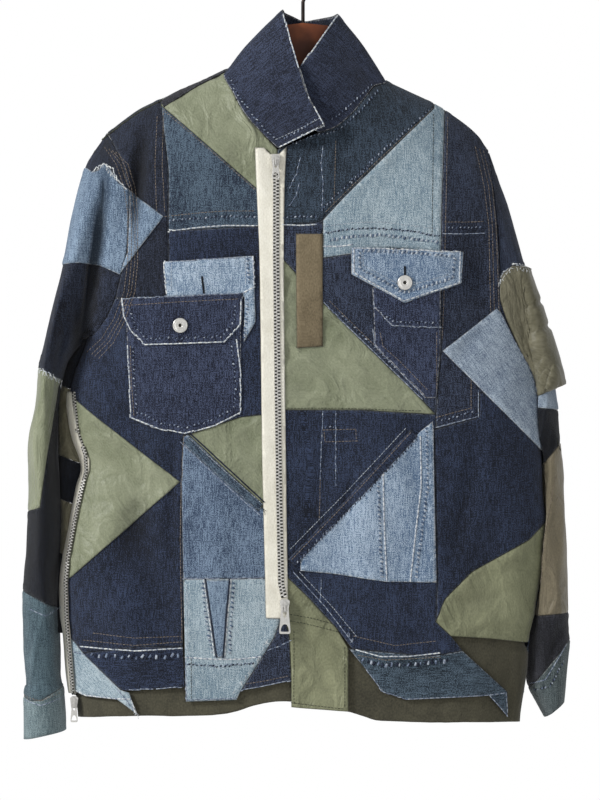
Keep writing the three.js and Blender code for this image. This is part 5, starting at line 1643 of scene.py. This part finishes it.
def metal_finish(name, colour_text, shade_text, roughness):
    """Cast metal, with painted shade: a little darker where it turns away from the view, as the reflection of
    a pale room makes it look.
    """
    material, tree, shader = new_material(name, roughness, 0.0, 0.55)
    where = add(tree, "TexCoord").outputs["Object"]
    cloud = add(tree, "TexNoise", {"Vector": where, "Scale": 320.0, "Detail": 3.0}).outputs["Fac"]
    # Painted shade: the colour moves to the shade colour as the surface turns away from the view.
    facing = add(tree, "LayerWeight", {"Blend": 0.35}).outputs["Facing"]
    level = sums(tree, "MULTIPLY_ADD", cloud, 0.4, spread(tree, facing, 0.15, 0.75), clamp=True)
    tree.links.new(blend(tree, "MIX", level, rgb(colour_text), rgb(shade_text)), shader.inputs["Base Color"])
    bump(tree, shader, cloud, 0.0001, 0.6)
    return material


TEETH = [(-29.5, -238), (-29.5, -331), (-28, -466), (-26, -598), (-24, -690), (-21, -704)]
SIDE_TEETH = [
    (-253, -480), (-249, -522), (-240, -548), (-239, -566), (-245, -590), (-252, -622), (-259, -660),
    (-262, -690), (-261, -730), (-257, -780), (-254, -814)]
metal = metal_finish("silver-white zip metal", "eceae5", "55534f", 0.3)
# Dark finish of painted shadow, for the boxes behind the zip teeth and the posts in the buttons' hollows.
gap = plain("painted shadow between zip teeth and in button hollows", "3a3833", 0.8, "262521", 260.0)
teeth("front_teeth", TEETH, 7.4, 3.7)
teeth("side_teeth", SIDE_TEETH, 5.6, 3.4)

# %% [markdown]
# ## Buttons
# Each is a stamped ring with a raised rim and a hollow middle over a post, darkened as painted shadow in the
# hollow. A profile spun round makes the ring, and a small disc closes the hole.

# %% Ring buttons
PROFILE = [(1.7, 0.2), (1.9, 1.5), (2.7, 2.0), (3.5, 1.7), (5.4, 1.7), (7.0, 2.5), (8.0, 2.1), (8.4, 0.9),
    (8.1, -0.3)]


def add_button(node, x, z):
    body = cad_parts[node]
    low = min((body.matrix_world @ v.co).y for v in body.data.vertices)
    place = Matrix.Translation((x * MM, low + 2.5 * MM, z * MM)) @ Matrix.Rotation(math.pi / 2, 4, "X")
    ring = bmesh.new()
    points = [ring.verts.new((r * MM, 0, h * MM)) for r, h in PROFILE]
    for a, b in zip(points, points[1:]):
        ring.edges.new((a, b))
    bmesh.ops.spin(ring, geom=ring.verts[:] + ring.edges[:], cent=(0, 0, 0), axis=(0, 0, 1),
                   angle=2 * math.pi, steps=40, use_merge=True)
    bmesh.ops.recalc_face_normals(ring, faces=ring.faces)
    bmesh.ops.transform(ring, matrix=place, verts=ring.verts)
    post = bmesh.new()
    bmesh.ops.create_cone(post, cap_ends=True, segments=24, radius1=1.9 * MM, radius2=1.9 * MM,
        depth=1.6 * MM,
                          matrix=place @ Matrix.Translation((0, 0, -0.3 * MM)))
    # The post takes the dark finish of painted shadow, as in the ring's hollow.
    for made, finish in ((link(node + "_ring", to_mesh("ring", ring)), metal),
                         (link(node + "_post", to_mesh("post", post)), gap)):
        made.data.polygons.foreach_set("use_smooth", [True] * len(made.data.polygons))
        made.data.materials.append(finish)
        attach(made, "jacket")
        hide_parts(node)
    print(node, "front at", round(low / MM, 1), "mm")


add_button("right_button", -135, -406)
add_button("left_button", 112, -359)

# %% [markdown]
# ## Pull tabs
# A tab is a flat stamped plate on a hinge. The hole at its top has to clear the arch of the
# slider all the way up, so it starts close under the top edge; the wide one is for a finger.

# %% Pull tabs
# Half of a tab's outline and of its two holes, in parts of its width and of its length.
TAB = [(0, 0), (0.26, 0.01), (0.33, 0.07), (0.36, 0.3), (0.42, 0.6), (0.5, 0.9), (0.46, 0.98), (0.36, 1),
    (0, 1)]
TAB_HOLES = [
    [(0, 0.055), (0.15, 0.055), (0.17, 0.24), (0.13, 0.4), (0, 0.45)],
    [(0, 0.66), (0.18, 0.69), (0.3, 0.78), (0.36, 0.89), (0.3, 0.92), (0, 0.92)]]


def add_tab(node):
    """A flat tab with a hole for the bail and a wide one to hold, in the box of the frame's tab."""
    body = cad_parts[node]
    corners = [body.matrix_world @ Vector(c) for c in body.bound_box]
    low = [min(c[k] for c in corners) for k in range(3)]
    high = [max(c[k] for c in corners) for k in range(3)]
    wide, thick, long = (high[k] - low[k] for k in range(3))
    tab = bmesh.new()
    for loop in [TAB] + TAB_HOLES:
        whole = loop + [(-x, t) for x, t in loop[-2:0:-1]]
        ring = [tab.verts.new(((low[0] + high[0]) / 2 + x * wide, high[1],
            high[2] - t * long)) for x, t in whole]
        for i, vert in enumerate(ring):
            tab.edges.new((vert, ring[i - 1]))
    bmesh.ops.triangle_fill(tab, use_beauty=True, use_dissolve=False, edges=tab.edges[:])
    bmesh.ops.dissolve_limit(tab, angle_limit=0.01, verts=tab.verts[:], edges=tab.edges[:])
    grown = bmesh.ops.extrude_face_region(tab, geom=tab.faces[:])
    front = [g for g in grown["geom"] if isinstance(g, bmesh.types.BMVert)]
    bmesh.ops.translate(tab, verts=front, vec=(0, -thick, 0))
    bmesh.ops.recalc_face_normals(tab, faces=tab.faces[:])
    made = link(node + "_tab", to_mesh(node, tab))
    edge = made.modifiers.new("edge", "BEVEL")
    edge.width, edge.segments, edge.limit_method = 0.3 * MM, 2, "ANGLE"
    made.data.materials.append(metal)
    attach(made, node)
    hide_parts(node)
    print(node, "tab:", [round(v / MM, 1) for v in (wide, thick, long)], "mm")


for node in ("front_top_pull", "front_bottom_pull", "side_pull"):
    add_tab(node)

# %% [markdown]
# ## Sliders, hanger and floor
# The frame's own sliders, wooden hanger and wire hook already have the right shape, so they
# only get a finish.

# %% Frame pieces that keep their shape
def finish_node(name, material):
    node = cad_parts[name]
    node.data.materials.clear()
    node.data.materials.append(material)


wood = plain("dark lacquered wood", "8e4e2c", 0.4, "552a17", 25.0, 0.0, 0.0003)
wire = plain("dark steel wire", "2b2422", 0.4, "1a1614", 90.0, 0.8, 0.0001)
for name in ("front_top_slider", "front_bottom_slider", "side_slider"):
    finish_node(name, metal)
finish_node("hanger_body", wood)
finish_node("hanger_hook", wire)
floor.data.materials.append(plain("pale floor", "efeeec", 0.9, "eae9e7", 3.0))
